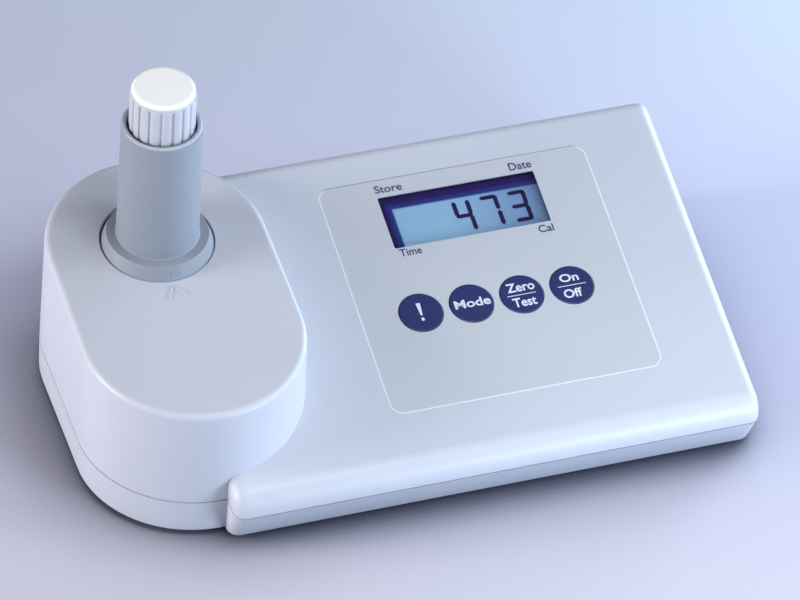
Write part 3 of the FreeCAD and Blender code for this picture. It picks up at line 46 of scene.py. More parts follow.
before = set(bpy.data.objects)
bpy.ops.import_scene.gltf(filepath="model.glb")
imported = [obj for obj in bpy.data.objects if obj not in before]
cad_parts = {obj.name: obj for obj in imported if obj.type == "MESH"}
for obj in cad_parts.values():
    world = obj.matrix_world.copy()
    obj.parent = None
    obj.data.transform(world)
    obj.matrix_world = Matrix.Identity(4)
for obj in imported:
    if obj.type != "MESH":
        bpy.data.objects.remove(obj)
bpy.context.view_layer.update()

MM = 0.001

# The console face: a slope that rises to the back, through a height above the table at the middle
PANEL_SLOPE = radians(13)
PANEL_RISE = 32.5 * MM
# The chamber's top, and the axis that adapter, vial and cap share
TOP_SLOPE = radians(3.8)
TOP_RISE = 49.0 * MM
TUBE = Vector((-62.5 * MM, 22.5 * MM, 0))


# Colours and places

def tint(red, green, blue):
    """A colour given by its 8-bit values as the linear one that a socket takes."""
    parts = [part / 255 for part in (red, green, blue)]
    return tuple(p / 12.92 if p <= 0.04045 else ((p + 0.055) / 1.055) ** 2.4 for p in parts)


def opaque(colour):
    return (*colour, 1.0)


def panel_place(across, up, out=0.0):
    """Millimetres across, up and out of the console face as a matrix in the frame."""
    turned = Matrix.Rotation(PANEL_SLOPE, 4, "X")
    raised = Matrix.Translation((0, 0, PANEL_RISE))
    return raised @ turned @ Matrix.Translation(Vector((across, up, out)) * MM)


def top_place(across, forward, out=0.0):
    """Millimetres from the tube's axis, on the chamber's top, as a matrix in the frame."""
    turned = Matrix.Rotation(TOP_SLOPE, 4, "X")
    back = TUBE.y / cos(TOP_SLOPE)
    start = Vector((TUBE.x, back, 0)) + Vector((across, -forward, out)) * MM
    return Matrix.Translation((0, 0, TOP_RISE)) @ turned @ Matrix.Translation(start)


# Node trees

class Term:
    """A socket in a node tree; a sum written with it adds Math nodes."""

    def __init__(self, graph, socket):
        self.graph = graph
        self.socket = socket

    def math(self, operation, *terms):
        return self.graph.node("ShaderNodeMath", terms, operation=operation)

    def __add__(self, other):
        return self.math("ADD", self, other)

    __radd__ = __add__

    def __sub__(self, other):
        return self.math("SUBTRACT", self, other)

    def __rsub__(self, other):
        return self.math("SUBTRACT", other, self)

    def __mul__(self, other):
        return self.math("MULTIPLY", self, other)

    __rmul__ = __mul__

    def __truediv__(self, other):
        return self.math("DIVIDE", self, other)

    def __abs__(self):
        return self.math("ABSOLUTE", self)

    def least(self, other):
        return self.math("MINIMUM", self, other)

    def most(self, other):
        return self.math("MAXIMUM", self, other)


class Graph:
    """A node tree whose nodes all come from one method."""

    def __init__(self, tree):
        self.tree = tree

    def node(self, kind, inputs=(), output=0, stops=None, **settings):
        """Adds a node: its settings first, then the values or links of its sockets."""
        made = self.tree.nodes.new(kind)
        for name, setting in settings.items():
            setattr(made, name, setting)
        for place, (at, colour) in enumerate(stops or ()):
            ramp = made.color_ramp.elements
            stop = ramp[place] if place < 2 else ramp.new(at)
            stop.position = at
            stop.color = opaque(colour)
        pairs = inputs.items() if isinstance(inputs, dict) else enumerate(inputs)
        for socket, given in pairs:
            if isinstance(given, Term):
                self.tree.links.new(given.socket, made.inputs[socket])
            else:
                made.inputs[socket].default_value = given
        return Term(self, made.outputs[output])


class Finish(Graph):
    """A material around one Principled surface. Constants are set on its own sockets."""

    def __init__(self, name, colour, constants):
        self.material = bpy.data.materials.new(name)
        self.material.use_nodes = True
        super().__init__(self.material.node_tree)
        self.surface = self.tree.nodes["Principled BSDF"]
        self.surface.inputs["Base Color"].default_value = opaque(colour)
        self.material.diffuse_color = opaque(colour)
        for socket, value in constants.items():
            self.surface.inputs[socket].default_value = value

    def feed(self, socket, term):
        self.tree.links.new(term.socket, self.surface.inputs[socket])
        return self

    def place(self):
        return self.node("ShaderNodeTexCoord", output="Object")

    def split(self, vector):
        """The three parts of a place."""
        first = self.node("ShaderNodeSeparateXYZ", [vector])
        return [Term(self, socket) for socket in first.socket.node.outputs]

    def turned(self, centre, turn=(0, 0, 0), stretch=(1, 1, 1)):
        """Object coordinates seen from a centre, turned and stretched with it."""
        return self.node("ShaderNodeMapping", {
            "Vector": self.place(), "Location": centre, "Rotation": turn, "Scale": stretch,
        }, vector_type="TEXTURE")

    def on_panel(self):
        """Millimetres across, up and out of the console face."""
        face = self.turned((0, 0, PANEL_RISE), (PANEL_SLOPE, 0, 0), (MM, MM, MM))
        return self.split(face)

    def noise(self, scale, detail=2.0, where=None, roughness=0.5):
        return self.node("ShaderNodeTexNoise", {
            "Vector": where or self.place(), "Scale": scale, "Detail": detail,
            "Roughness": roughness,
        }, output="Fac")

    def rise(self, term, low, high):
        """0 below low, 1 above high, and a smooth rise between."""
        return self.node("ShaderNodeMapRange", {
            "Value": term, "From Min": low, "From Max": high,
        }, interpolation_type="SMOOTHSTEP")

    def spread(self, term, low, high):
        """A 0 to 1 term spread from low to high."""
        return self.node("ShaderNodeMapRange", {"Value": term, "To Min": low, "To Max": high})

    def mix(self, share, first, second, way="MIX"):
        given = [opaque(c) if isinstance(c, tuple) else c for c in (first, second)]
        return self.node("ShaderNodeMix", {0: share, 6: given[0], 7: given[1]}, output=2,
                         data_type="RGBA", blend_type=way)

    def bump(self, height, distance, strength=1.0, after=None):
        inputs = {"Strength": strength, "Distance": distance, "Height": height}
        if after:
            inputs["Normal"] = after
        return self.node("ShaderNodeBump", inputs)


class Recipe(Graph):
    """A Geometry Nodes tree with named inputs that is run once and kept as a plain mesh."""

    def __init__(self, name, **sizes):
        super().__init__(bpy.data.node_groups.new(name, "GeometryNodeTree"))
        face = self.tree.interface
        kinds = {int: "NodeSocketInt", float: "NodeSocketFloat"}
        face.new_socket(name="Places", in_out="INPUT", socket_type="NodeSocketGeometry")
        self.sizes = {}
        for label, size in sizes.items():
            socket = face.new_socket(name=label.replace("_", " ").capitalize(), in_out="INPUT",
                                     socket_type=kinds[type(size)])
            self.sizes[label] = (socket.identifier, size)
        finish = face.new_socket(name="Finish", in_out="INPUT", socket_type="NodeSocketMaterial")
        self.finish = finish.identifier
        face.new_socket(name="Geometry", in_out="OUTPUT", socket_type="NodeSocketGeometry")
        self.start = self.tree.nodes.new("NodeGroupInput")
        self.places = Term(self, self.start.outputs[0])

    def size(self, label):
        return Term(self, self.start.outputs[self.sizes[label][0]])

    def vector(self, x=0.0, y=0.0, z=0.0):
        return self.node("ShaderNodeCombineXYZ", [x, y, z])

    def block(self, x, y, z):
        return self.node("GeometryNodeMeshCube", {"Size": self.vector(x, y, z)})

    def moved(self, geometry, x=0.0, y=0.0, z=0.0, turn=(0, 0, 0)):
        return self.node("GeometryNodeTransform", {
            "Geometry": geometry, "Translation": self.vector(x, y, z), "Rotation": turn,
        })

    def joined(self, *geometries):
        made = self.tree.nodes.new("GeometryNodeJoinGeometry")
        for geometry in geometries:
            self.tree.links.new(geometry.socket, made.inputs[0])
        return Term(self, made.outputs[0])

    def attribute(self, name, kind="FLOAT_VECTOR"):
        return self.node("GeometryNodeInputNamedAttribute", {"Name": name}, data_type=kind)

    def at_places(self, geometry):
        """A copy at each place, turned and stretched as the place says."""
        return self.node("GeometryNodeInstanceOnPoints", {
            "Points": self.places, "Instance": geometry, "Rotation": self.attribute("turn"),
            "Scale": self.attribute("stretch"),
        })

    def make(self, geometry, places, material):
        """Runs the tree on the places and gives the plain mesh."""
        real = self.node("GeometryNodeRealizeInstances", [geometry])
        set_finish = self.node("GeometryNodeSetMaterial", {
            "Geometry": real, "Material": Term(self, self.start.outputs[self.finish]),
        })
        end = self.tree.nodes.new("NodeGroupOutput")
        self.tree.links.new(set_finish.socket, end.inputs[0])
        carrier = bpy.data.objects.new("carrier", places)
        bpy.context.scene.collection.objects.link(carrier)
        modifier = carrier.modifiers.new("Recipe", "NODES")
        modifier.node_group = self.tree
        for identifier, size in self.sizes.values():
            modifier[identifier] = size
        modifier[self.finish] = material
        return plain(carrier)


def plain(carrier):
    """The evaluated object as a mesh of its own; the object and its modifiers go."""
    bpy.context.view_layer.update()
    seen = carrier.evaluated_get(bpy.context.evaluated_depsgraph_get())
    mesh = bpy.data.meshes.new_from_object(seen)
    bpy.data.objects.remove(carrier)
    return mesh


def places(rows):
    """Places for a recipe: rows of point, turn and stretch, in the recipe's own axes."""
    mesh = bpy.data.meshes.new("places")
    mesh.from_pydata([row[0] for row in rows], [], [])
    for name, column in (("turn", 1), ("stretch", 2)):
        held = mesh.attributes.new(name, "FLOAT_VECTOR", "POINT")
        for place, row in zip(held.data, rows):
            place.vector = row[column]
    return mesh


# Meshes and pieces

def slab(outline, thick):
    """A closed flat piece from an outline of x, y points; its face lies at z = thick."""
    mesh = bpy.data.meshes.new("slab")
    form = bmesh.new()
    face = form.faces.new([form.verts.new((x, y, 0)) for x, y in outline])
    grown = bmesh.ops.extrude_face_region(form, geom=[face])["geom"]
    raised = [part for part in grown if isinstance(part, bmesh.types.BMVert)]
    bmesh.ops.translate(form, verts=raised, vec=(0, 0, thick))
    bmesh.ops.recalc_face_normals(form, faces=form.faces)
    form.to_mesh(mesh)
    form.free()
    return mesh


def lettering(text, start, end, high, weight, thick):
    """A word between two places on its base line, in millimetres, as a closed mesh."""
    curve = bpy.data.curves.new("word", "FONT")
    curve.body = text
    curve.offset = weight
    curve.resolution_u = 4
    curve.extrude = 0.5
    carrier = bpy.data.objects.new("word", curve)
    bpy.context.scene.collection.objects.link(carrier)
    mesh = plain(carrier)
    across = [vertex.co.x for vertex in mesh.vertices]
    up = [vertex.co.y for vertex in mesh.vertices]
    base = Vector((min(across), 0, -0.5))
    run = Vector(end) - Vector(start)
    scale = Matrix.Diagonal((run.length / (max(across) - min(across)), high / max(up), thick, 1))
    turn = Matrix.Rotation(run.to_2d().angle_signed(Vector((1, 0))), 4, "Z")
    place = Matrix.Translation((*start, 0)) @ turn @ scale @ Matrix.Translation(-base)
    mesh.transform(place)
    return mesh


def merged(meshes, weld=0.0):
    """One mesh from several, with doubles welded and faces pointing outwards."""
    form = bmesh.new()
    for mesh in meshes:
        form.from_mesh(mesh)
    if weld:
        bmesh.ops.remove_doubles(form, verts=form.verts, dist=weld)
    bmesh.ops.recalc_face_normals(form, faces=form.faces)
    mesh = bpy.data.meshes.new("merged")
    form.to_mesh(mesh)
    form.free()
    return mesh


def piece(name, mesh, body, finish, place=None):
    """A finished piece: its place goes into its mesh, and it rides on a body."""
    if place:
        mesh.transform(place)
    mesh.name = name
    mesh.materials.clear()
    mesh.materials.append(finish.material)
    made = bpy.data.objects.new(name, mesh)
    bpy.context.scene.collection.objects.link(made)
    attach(made, body)
    return made


def dress(finish, *nodes):
    """Gives CAD nodes their finish."""
    for node in nodes:
        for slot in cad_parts[node].material_slots:
            slot.material = finish.material


SCALED_MM = Matrix.Scale(MM, 4)


# Finishes

def moulded(name, colour, roughness, grain, depth, drift=0.03):
    """Moulded plastic: an even spark-eroded grain and a faint drift of tone."""
    finish = Finish(name, colour, {"Roughness": roughness})
    coarse = finish.noise(1 / (grain * 9), 3.0)
    fine = finish.noise(1 / grain, 2.0)
    cloud = finish.noise(14.0, 2.0)
    darker = tuple(part * (1 - 2 * drift) for part in colour)
    paler = tuple(min(1.0, part * (1 + drift)) for part in colour)
    tone = finish.rise(cloud * 0.75 + coarse * 0.25, 0.3, 0.7)
    finish.tone = finish.mix(tone, darker, paler)
    finish.feed("Base Color", finish.tone)
    finish.feed("Roughness", finish.spread(coarse, roughness - 0.05, roughness + 0.05))
    finish.feed("Normal", finish.bump(fine * 0.7 + coarse * 0.3, depth))
    return finish


def metal(name, colour, roughness, streak=(1, 1, 1), bright=0.12):
    """Plated or drawn metal: fine streaks along one way and a few dull patches."""
    finish = Finish(name, colour, {"Metallic": 1.0, "Roughness": roughness})
    drawn = finish.noise(2600.0, 3.0, finish.turned((0, 0, 0), (0, 0, 0), streak))
    patch = finish.noise(230.0, 3.0)
    dull = tuple(part * (1 - 2 * bright) for part in colour)
    finish.feed("Base Color", finish.mix(finish.rise(patch, 0.35, 0.7), colour, dull))
    finish.feed("Roughness", finish.spread(drawn * 0.5 + patch * 0.5, roughness - 0.1,
                                           roughness + 0.15))
    finish.feed("Normal", finish.bump(drawn, 0.00002, 0.5))
    return finish


def rubber(name, colour, roughness=0.75):
    """Matt rubber with a fine bloom on its surface."""
    finish = Finish(name, colour, {"Roughness": roughness})
    bloom = finish.noise(420.0, 4.0, roughness=0.65)
    dusty = tuple(part * 1.9 + 0.01 for part in colour)
    finish.feed("Base Color", finish.mix(finish.rise(bloom, 0.45, 0.8), colour, dusty))
    finish.feed("Normal", finish.bump(finish.noise(2400.0, 2.0), 0.00003))
    return finish


# Settings

def colour_setting(name, description, default):
    return FloatVectorProperty(name=name, description=description, default=default,
                               subtype="COLOR", min=0.0, max=1.0)


def length_setting(name, description, default):
    return FloatProperty(name=name, description=description, default=default * MM,
                         unit="LENGTH", min=0.0, precision=5)


class ShellSettings(bpy.types.PropertyGroup):
    colour: colour_setting("Shell colour", "Colour of both housing shells and the battery cover",
                           tint(193, 196, 209))
    grain: length_setting("Grain", "Size of the moulded grain", 0.35)
    seal: colour_setting("Seal colour", "Colour of the seals", tint(112, 118, 142))


class PanelSettings(bpy.types.PropertyGroup):
    film: colour_setting("Film colour", "Colour of the printed keypad film", tint(189, 192, 201))
    ink: colour_setting("Ink colour", "Colour of the words on the film", tint(48, 58, 104))
    ink_thick: length_setting("Ink thickness", "Height of the printed words", 0.03)
    key: colour_setting("Key colour", "Colour of the round keys", tint(34, 43, 97))
    key_ink: colour_setting("Key lettering", "Colour of the words on the keys",
                            tint(214, 222, 240))


class DisplaySettings(bpy.types.PropertyGroup):
    reading: IntProperty(name="Reading", description="The number on the display", default=473,
                         min=0, max=999)
    # The field's two colours carry painted light: lighter at its left, dimmer at its right
    lit: colour_setting("Lit colour", "Colour of the display's field at its left",
                        tint(156, 200, 238))
    dim: colour_setting("Dim colour", "Colour of the display's field at its right",
                        tint(112, 146, 198))
    # The border's two colours are painted shadow of the window's edge, along the glass's top and
    # left
    border: colour_setting("Border colour", "Colour of the display's outer border",
                           tint(46, 30, 92))
    inner: colour_setting("Inner border colour", "Colour of the border next to the field",
                          tint(48, 60, 140))
    segment: colour_setting("Segment colour", "Colour of the dark segments", tint(40, 20, 78))
    digit_wide: length_setting("Digit width", "Width of a digit", 5.4)
    digit_high: length_setting("Digit height", "Height of a digit", 10.8)
    stroke: length_setting("Stroke", "Width of a segment", 1.3)


class AdapterSettings(bpy.types.PropertyGroup):
    colour: colour_setting("Adapter colour", "Colour of the vial adapter", tint(137, 143, 156))
    mark: colour_setting("Mark colour", "Colour of the raised marks", tint(134, 142, 160))


class VialSettings(bpy.types.PropertyGroup):
    # The cap's top and side are one white plastic: the top's colour carries painted light, the
    # side's painted shade
    cap: colour_setting("Cap colour", "Colour of the vial's cap", tint(253, 254, 255))
    cap_side: colour_setting("Cap side colour", "Colour of the cap's ribbed side",
                             tint(186, 188, 198))
    ribs: IntProperty(name="Ribs", description="Ribs round the cap; the cap has twice as many "
                      "flutes", default=18, min=6, max=36)
    glass: colour_setting("Glass colour", "Tint of the vial's glass", tint(236, 246, 247))


class InsideSettings(bpy.types.PropertyGroup):
    mask: colour_setting("Board colour", "Colour of the boards' solder mask", tint(28, 92, 58))
    jacket: colour_setting("Cell colour", "Colour of the battery cells' jackets",
                           tint(46, 52, 66))
    legs: IntProperty(name="Legs", description="Legs on each side of the microcontroller",
                      default=13, min=4, max=20)
    leg_pitch: length_setting("Leg pitch", "Distance between the microcontroller's legs", 0.8)
    spring_turns: FloatProperty(name="Spring turns", description="Turns of a contact spring",
                                default=4.5, min=2.0, max=8.0)
    spring_wire: length_setting("Spring wire", "Radius of a contact spring's wire", 0.25)


class StageSettings(bpy.types.PropertyGroup):
    near: colour_setting("Near floor", "Colour of the floor in front", tint(199, 196, 208))
    middle: colour_setting("Middle floor", "Colour of the floor beside the part",
                           tint(199, 199, 224))
    far: colour_setting("Far floor", "Colour of the floor behind", tint(206, 213, 230))
    light: FloatProperty(name="Light", description="Strength of all lamps together",
                         default=1.0, min=0.0, max=4.0)


class PhotometerSettings(bpy.types.PropertyGroup):
    shell: PointerProperty(type=ShellSettings)
    panel: PointerProperty(type=PanelSettings)
    display: PointerProperty(type=DisplaySettings)
    adapter: PointerProperty(type=AdapterSettings)
    vial: PointerProperty(type=VialSettings)
    inside: PointerProperty(type=InsideSettings)
    stage: PointerProperty(type=StageSettings)


def chosen(context, group):
    """A settings group of the scene."""
    return getattr(context.scene.photometer, group)


# Stage

# The camera: where it stands round the part, how it is tilted, and where on the part it looks
AZIMUTH = radians(20.9)
ELEVATION = radians(44.4)
ROLL = radians(4.4)
DISTANCE = 1.837
LENS_PIXELS = 6386
FRAME_PIXELS = 800
SENSOR = 36.0
AIM_ACROSS = 17.4
AIM_UP = 78.1
CAMERA_RISE = 1.5 * MM


def aim_camera():
    data = bpy.data.cameras.new("camera")
    data.sensor_width = SENSOR
    data.lens = SENSOR * LENS_PIXELS / FRAME_PIXELS
    data.clip_start = 0.05
    data.clip_end = 50
    camera = bpy.data.objects.new("camera", data)
    bpy.context.scene.collection.objects.link(camera)
    flat = cos(ELEVATION)
    forward = Vector((sin(AZIMUTH) * flat, cos(AZIMUTH) * flat, -sin(ELEVATION)))
    right = Vector((cos(AZIMUTH), -sin(AZIMUTH), 0))
    up = right.cross(forward)
    level = right * cos(ROLL) + up * sin(ROLL)
    upright = up * cos(ROLL) - right * sin(ROLL)
    aim = forward + level * (AIM_ACROSS / LENS_PIXELS) + upright * (AIM_UP / LENS_PIXELS)
    aim.normalize()
    across = (level - aim * level.dot(aim)).normalized()
    above = across.cross(aim)
    stand = Matrix((across, above, -aim)).transposed().to_4x4()
    stand.translation = -forward * DISTANCE + Vector((0, 0, CAMERA_RISE))
    camera.matrix_world = stand
    bpy.context.scene.camera = camera


def softbox(name, place, aim, size, power, colour=(1.0, 1.0, 1.0)):
    """A square lamp at a place, turned towards another."""
    data = bpy.data.lights.new(name, "AREA")
    data.shape = "SQUARE"
    data.size = size
    data.energy = power
    data.color = colour
    lamp = bpy.data.objects.new(name, data)
    bpy.context.scene.collection.objects.link(lamp)
    lamp.location = place
    lamp.rotation_mode = "QUATERNION"
    lamp.rotation_quaternion = (Vector(aim) - Vector(place)).to_track_quat("-Z", "Y")
    lamp.visible_camera = False


LAMPS = [
    ("left", (-0.94, 0.06, 0.28), (0, 0, 0.02), 0.4, 8.6, (1.0, 1.0, 0.99)),
    ("left_front", (-0.904, -0.294, 0.35), (0, 0, 0.02), 0.4, 1.2, (1.0, 1.0, 1.0)),
    ("right", (0.904, -0.294, 0.35), (0, 0, 0.02), 0.4, 4.0, (0.74, 0.89, 1.0)),
    ("right_low", (0.433, 0.2, 0.12), (0, 0, 0.02), 0.2, 1.6, (0.6, 0.8, 1.0)),
    ("right_high", (0.6, -0.3, 0.75), (0.18, -0.09, 0), 0.3, 1.32, (1.0, 0.98, 0.96)),
    ("front_low", (0.25, -0.433, 0.12), (0, 0, 0.02), 0.2, 2.0, (0.68, 0.85, 1.0)),
    ("above_right", (0.3, 0, 0.75), (0.09, 0, 0), 0.3, 0.3, (0.95, 0.98, 1.0)),
    ("near", (0.02, -0.15, 0.38), (0.01, -0.05, 0.03), 0.16, 0.54, (1.0, 1.0, 1.0)),
]
AIR = 0.05
FLOOR_SIZE = 4.0
# How far from the part the floor's painted contact shadow reaches, in metres
CONTACT = 0.05


class PHOTOMETER_OT_stage(bpy.types.Operator):
    """Lay the pale floor, set the soft lamps and the camera"""

    bl_idname = "photometer.stage"
    bl_label = "Stage"

    def execute(self, context):
        look = chosen(context, "stage")
        context.scene.view_settings.view_transform = "Standard"
        aim_camera()
        for name, place, aim, size, power, colour in LAMPS:
            softbox(name, place, aim, size, power * look.light, colour)
        world = bpy.data.worlds.new("air")
        world.use_nodes = True
        context.scene.world = world
        sky = world.node_tree.nodes["Background"].inputs
        sky["Color"].default_value = opaque(tint(222, 228, 246))
        sky["Strength"].default_value = AIR * look.light
        self.lay_floor(look)
        return {"FINISHED"}

    def lay_floor(self, look):
        finish = Finish("floor", tuple(look.middle), {"Roughness": 0.9, "Specular IOR Level": 0.0})
        along = finish.turned((0, 0, 0), (0, 0, -AZIMUTH))
        depth = finish.split(along)[1]
        stops = [(0.0, tuple(look.near)), (0.5, tuple(look.middle)), (1.0, tuple(look.far))]
        shade = finish.node("ShaderNodeValToRGB", [finish.rise(depth, -0.16, 0.26)], stops=stops)
        # Painted shadow: the floor's colour darkens close to the part, where it is hemmed in
        open_air = finish.node("ShaderNodeAmbientOcclusion", {"Distance": CONTACT}, output="AO",
                               samples=16)
        contact_shadow = 1 - finish.rise(open_air, 0.3, 1.0)
        finish.feed("Base Color", finish.mix(contact_shadow * 0.95, shade, tint(82, 84, 98)))
        below = finish.node("ShaderNodeNewGeometry", output="Backfacing")
        clear = finish.node("ShaderNodeBsdfTransparent")
        both = finish.node("ShaderNodeMixShader", {
            0: below, 1: Term(finish, finish.surface.outputs[0]), 2: clear,
        })
        end = finish.tree.nodes["Material Output"].inputs["Surface"]
        finish.tree.links.new(both.socket, end)
        mesh = bpy.data.meshes.new("floor")
        half = FLOOR_SIZE / 2
        corners = [(-half, -half, 0), (half, -half, 0), (half, half, 0), (-half, half, 0)]
        mesh.from_pydata(corners, [], [(0, 1, 2, 3)])
        mesh.materials.append(finish.material)
        floor = bpy.data.objects.new("floor", mesh)
        bpy.context.scene.collection.objects.link(floor)


# Housing

# An arrow on the chamber's top in front of the tube: across, forward of the tube's axis
ARROW_LEGS = [
    [(-3.4, 22.4), (-1.3, 18.3), (-0.5, 18.5), (-2.6, 22.7)],
    [(-1.3, 18.3), (-0.5, 18.1), (2.2, 21.6), (1.5, 22.1)],
]
ARROW_THICK = 0.25
# The lip round the flange's seat, in millimetres: foot, radii, and how far its top lies down
LIP_LOW = 49.3
LIP_INNER = 16.36
LIP_OUTER = 16.65
LIP_DOWN = 0.12
LIP_STEPS = 120


class PHOTOMETER_OT_housing(bpy.types.Operator):
    """Finish the two shells, their seal, screws and feet"""

    bl_idname = "photometer.housing"
    bl_label = "Housing"

    def execute(self, context):
        look = chosen(context, "shell")
        shell = moulded("shell_plastic", tuple(look.colour), 0.42, look.grain, 0.00002,
                        drift=0.012)
        dress(shell, "upper_shell", "base_shell", "battery_cover")
        dress(rubber("seal_rubber", tuple(look.seal)), "shell_seal", "cover_seal")
        dress(rubber("foot_rubber", tint(52, 54, 60)), "rubber_feet")
        zinc = metal("zinc_plate", tint(196, 198, 204), 0.32, (1, 1, 6))
        dress(zinc, "housing_screws", "board_screws", "chamber_screws", "cover_screws")
        legs = [slab([(x, -y) for x, y in leg], ARROW_THICK) for leg in ARROW_LEGS]
        arrow = merged(legs)
        arrow.transform(SCALED_MM)
        piece("chamber_arrow", arrow, "housing", shell, top_place(0, 0, -0.01))
        lip = self.seat_lip()
        piece("seat_lip", lip, "housing", shell, Matrix.Translation(TUBE))
        return {"FINISHED"}

    def seat_lip(self):
        """A thin lip that narrows the gap around the flange, cut level with the chamber's top."""
        low, inner, outer = LIP_LOW, LIP_INNER, LIP_OUTER
        points, faces = [], []
        for step in range(LIP_STEPS):
            turn = 2 * pi * step / LIP_STEPS
            for reach, top in ((inner, False), (outer, False), (outer, True), (inner, True)):
                x, y = reach * cos(turn), reach * sin(turn)
                high = TOP_RISE + (TUBE.y + y * MM) * tan(TOP_SLOPE) - LIP_DOWN * MM
                points.append((x * MM, y * MM, high if top else low * MM))
            here, there = 4 * step, 4 * ((step + 1) % LIP_STEPS)
            for side in range(4):
                ahead = (side + 1) % 4
                faces.append((here + side, here + ahead, there + ahead, there + side))
        mesh = bpy.data.meshes.new("lip")
        mesh.from_pydata(points, [], faces)
        smooth = merged([mesh])
        smooth_by_angle(smooth)
        return smooth


# Panel, words and keys

PANEL_CENTRE = (30.7, 1.45)
PANEL_HALF = (40.7, 39.15)
PANEL_CORNER = 4.0
KEY_UP = -6.0
KEY_FIRST = 7.9
KEY_PITCH = 15.15
KEY_TOP = 0.1

# Word, start and end of its base line, height of its capital, in millimetres on the console face
WORDS = [
    ("Store", (6.86, 36.1), (15.0, 36.0), 2.5),
    ("Date", (47.61, 35.75), (54.4, 35.75), 2.6),
    ("Time", (7.83, 13.6), (14.36, 13.6), 2.5),
    ("Cal", (49.7, 13.25), (54.27, 13.25), 2.5),
]
WORD_WEIGHT = 0.014
KEY_WEIGHT = 0.022
KEY_LETTERING = {
    "mode": [("Mode", (17.99, -7.1), (28.71, -7.1), 2.75)],
    "zero_test": [("Zero", (34.3, -4.9), (42.6, -4.9), 2.95),
                  ("Test", (34.8, -10.0), (41.8, -10.0), 2.95)],
    "on_off": [("On", (50.35, -4.6), (56.0, -4.6), 2.6),
               ("Off", (50.1, -10.05), (55.6, -10.05), 2.85)],
}
KEY_RULES = {"zero_test": (33.8, 42.4, -6.1), "on_off": (49.1, 57.6, -6.0)}
RULE_HIGH = 0.22
# The alert key's mark: a bar that narrows to its foot, and a dot
MARK_BAR = [(7.15, -2.75), (7.55, -6.9), (8.1, -6.9), (8.5, -2.75)]
MARK_DOT = [(7.4, -7.75), (7.4, -8.75), (8.25, -8.75), (8.25, -7.75)]


class PHOTOMETER_OT_panel(bpy.types.Operator):
    """Finish the keypad film and print its words"""

    bl_idname = "photometer.panel"
    bl_label = "Keypad panel"

    def execute(self, context):
        look = chosen(context, "panel")
        dress(self.film(look), "keypad_overlay")
        thick = look.ink_thick / MM
        ink = moulded("panel_ink", tuple(look.ink), 0.5, 0.1 * MM, 0.000004)
        words = [lettering(text, start, end, high, WORD_WEIGHT, thick)
                 for text, start, end, high in WORDS]
        mesh = merged(words)
        mesh.transform(SCALED_MM)
        piece("panel_words", mesh, "housing", ink, panel_place(0, 0))
        return {"FINISHED"}

    def film(self, look):
        """Matt film with a fine grain, a painted highlight along its rounded edge, and painted
        shade along its top edge.
        """
        film = tuple(look.film)
        finish = Finish("keypad_film", film, {"Roughness": 0.38})
        across, up, out = finish.on_panel()
        grain = finish.noise(3800.0, 2.0)
        cloud = finish.noise(26.0, 2.0)
        tone = finish.mix(cloud, tuple(part * 0.97 for part in film),
                          tuple(min(1.0, part * 1.02) for part in film))
        beyond = [abs(place - centre) - (half - PANEL_CORNER) for place, centre, half
                  in zip((across, up), PANEL_CENTRE, PANEL_HALF)]
        reach = [part.most(0.0) for part in beyond]
        corner = (reach[0] * reach[0] + reach[1] * reach[1]).math("SQRT",
                  reach[0] * reach[0] + reach[1] * reach[1])
        inside = beyond[0].most(beyond[1]).least(0.0)
        edge = corner + inside - PANEL_CORNER
        # Painted highlight: a pale line along the film's rounded edge, left off along its top edge
        edge_highlight = finish.rise(edge, -0.6, -0.35) * (1 - finish.rise(up, 39.4, 40.1))
        bright = finish.mix(edge_highlight * 0.7, tone, tint(238, 240, 250))
        # Painted shade: a dark line along the film's top edge
        shaded = finish.rise(up, 40.25, 40.4) * 0.5
        finish.feed("Base Color", finish.mix(shaded, bright, tint(90, 98, 124)))
        finish.feed("Roughness", finish.spread(grain, 0.34, 0.44))
        finish.feed("Normal", finish.bump(grain, 0.000012))
        return finish


class PHOTOMETER_OT_keys(bpy.types.Operator):
    """Finish the four round keys and print their words"""

    bl_idname = "photometer.keys"
    bl_label = "Keys"

    def execute(self, context):
        look = chosen(context, "panel")
        thick = look.ink_thick / MM
        colour = tuple(look.key)
        key = Finish("key_print", colour, {"Roughness": 0.4})
        grain = key.noise(3200.0, 2.0)
        cloud = key.noise(90.0, 2.0)
        key.feed("Base Color", key.mix(cloud, tuple(part * 0.9 for part in colour),
                                       tuple(part * 1.12 for part in colour)))
        key.feed("Roughness", key.spread(grain, 0.36, 0.46))
        key.feed("Normal", key.bump(grain, 0.000012))
        dress(key, "key_alert", "key_mode", "key_zero_test", "key_on_off")
        ink = moulded("key_ink", tuple(look.key_ink), 0.45, 0.1 * MM, 0.000004)
        mark = [slab(MARK_BAR, thick), slab(MARK_DOT, thick)]
        self.print_on("alert", mark, ink)
        for name, words in KEY_LETTERING.items():
            drawn = [lettering(text, start, end, high, KEY_WEIGHT, thick)
                     for text, start, end, high in words]
            if name in KEY_RULES:
                left, right, up = KEY_RULES[name]
                low, high = up - RULE_HIGH / 2, up + RULE_HIGH / 2
                drawn.append(slab([(left, low), (right, low), (right, high), (left, high)], thick))
            self.print_on(name, drawn, ink)
        return {"FINISHED"}

    def print_on(self, name, drawn, ink):
        mesh = merged(drawn)
        mesh.transform(SCALED_MM)
        piece(f"{name}_lettering", mesh, f"{name}_key", ink, panel_place(0, 0, KEY_TOP))


# Display

GLASS_OUT = -1.6
# The field: its left and top, where the painted shadow of the window's edge ends, and its right,
# where its painted light is dimmest
FIELD_LEFT = 10.6
FIELD_TOP = 30.7
FIELD_RIGHT = 54.3
DIGIT_LEFT = (27.9, 36.3, 44.8)
DIGIT_LOW = 19.0
INK_OUT = 0.02
# Each number's lit segments: top, upper right, lower right, low, lower left, upper left, middle
SEGMENTS = {0: "abcdef", 1: "bc", 2: "abdeg", 3: "abcdg", 4: "bcfg", 5: "acdfg", 6: "acdefg",
            7: "abc", 8: "abcdefg", 9: "abcdfg"}


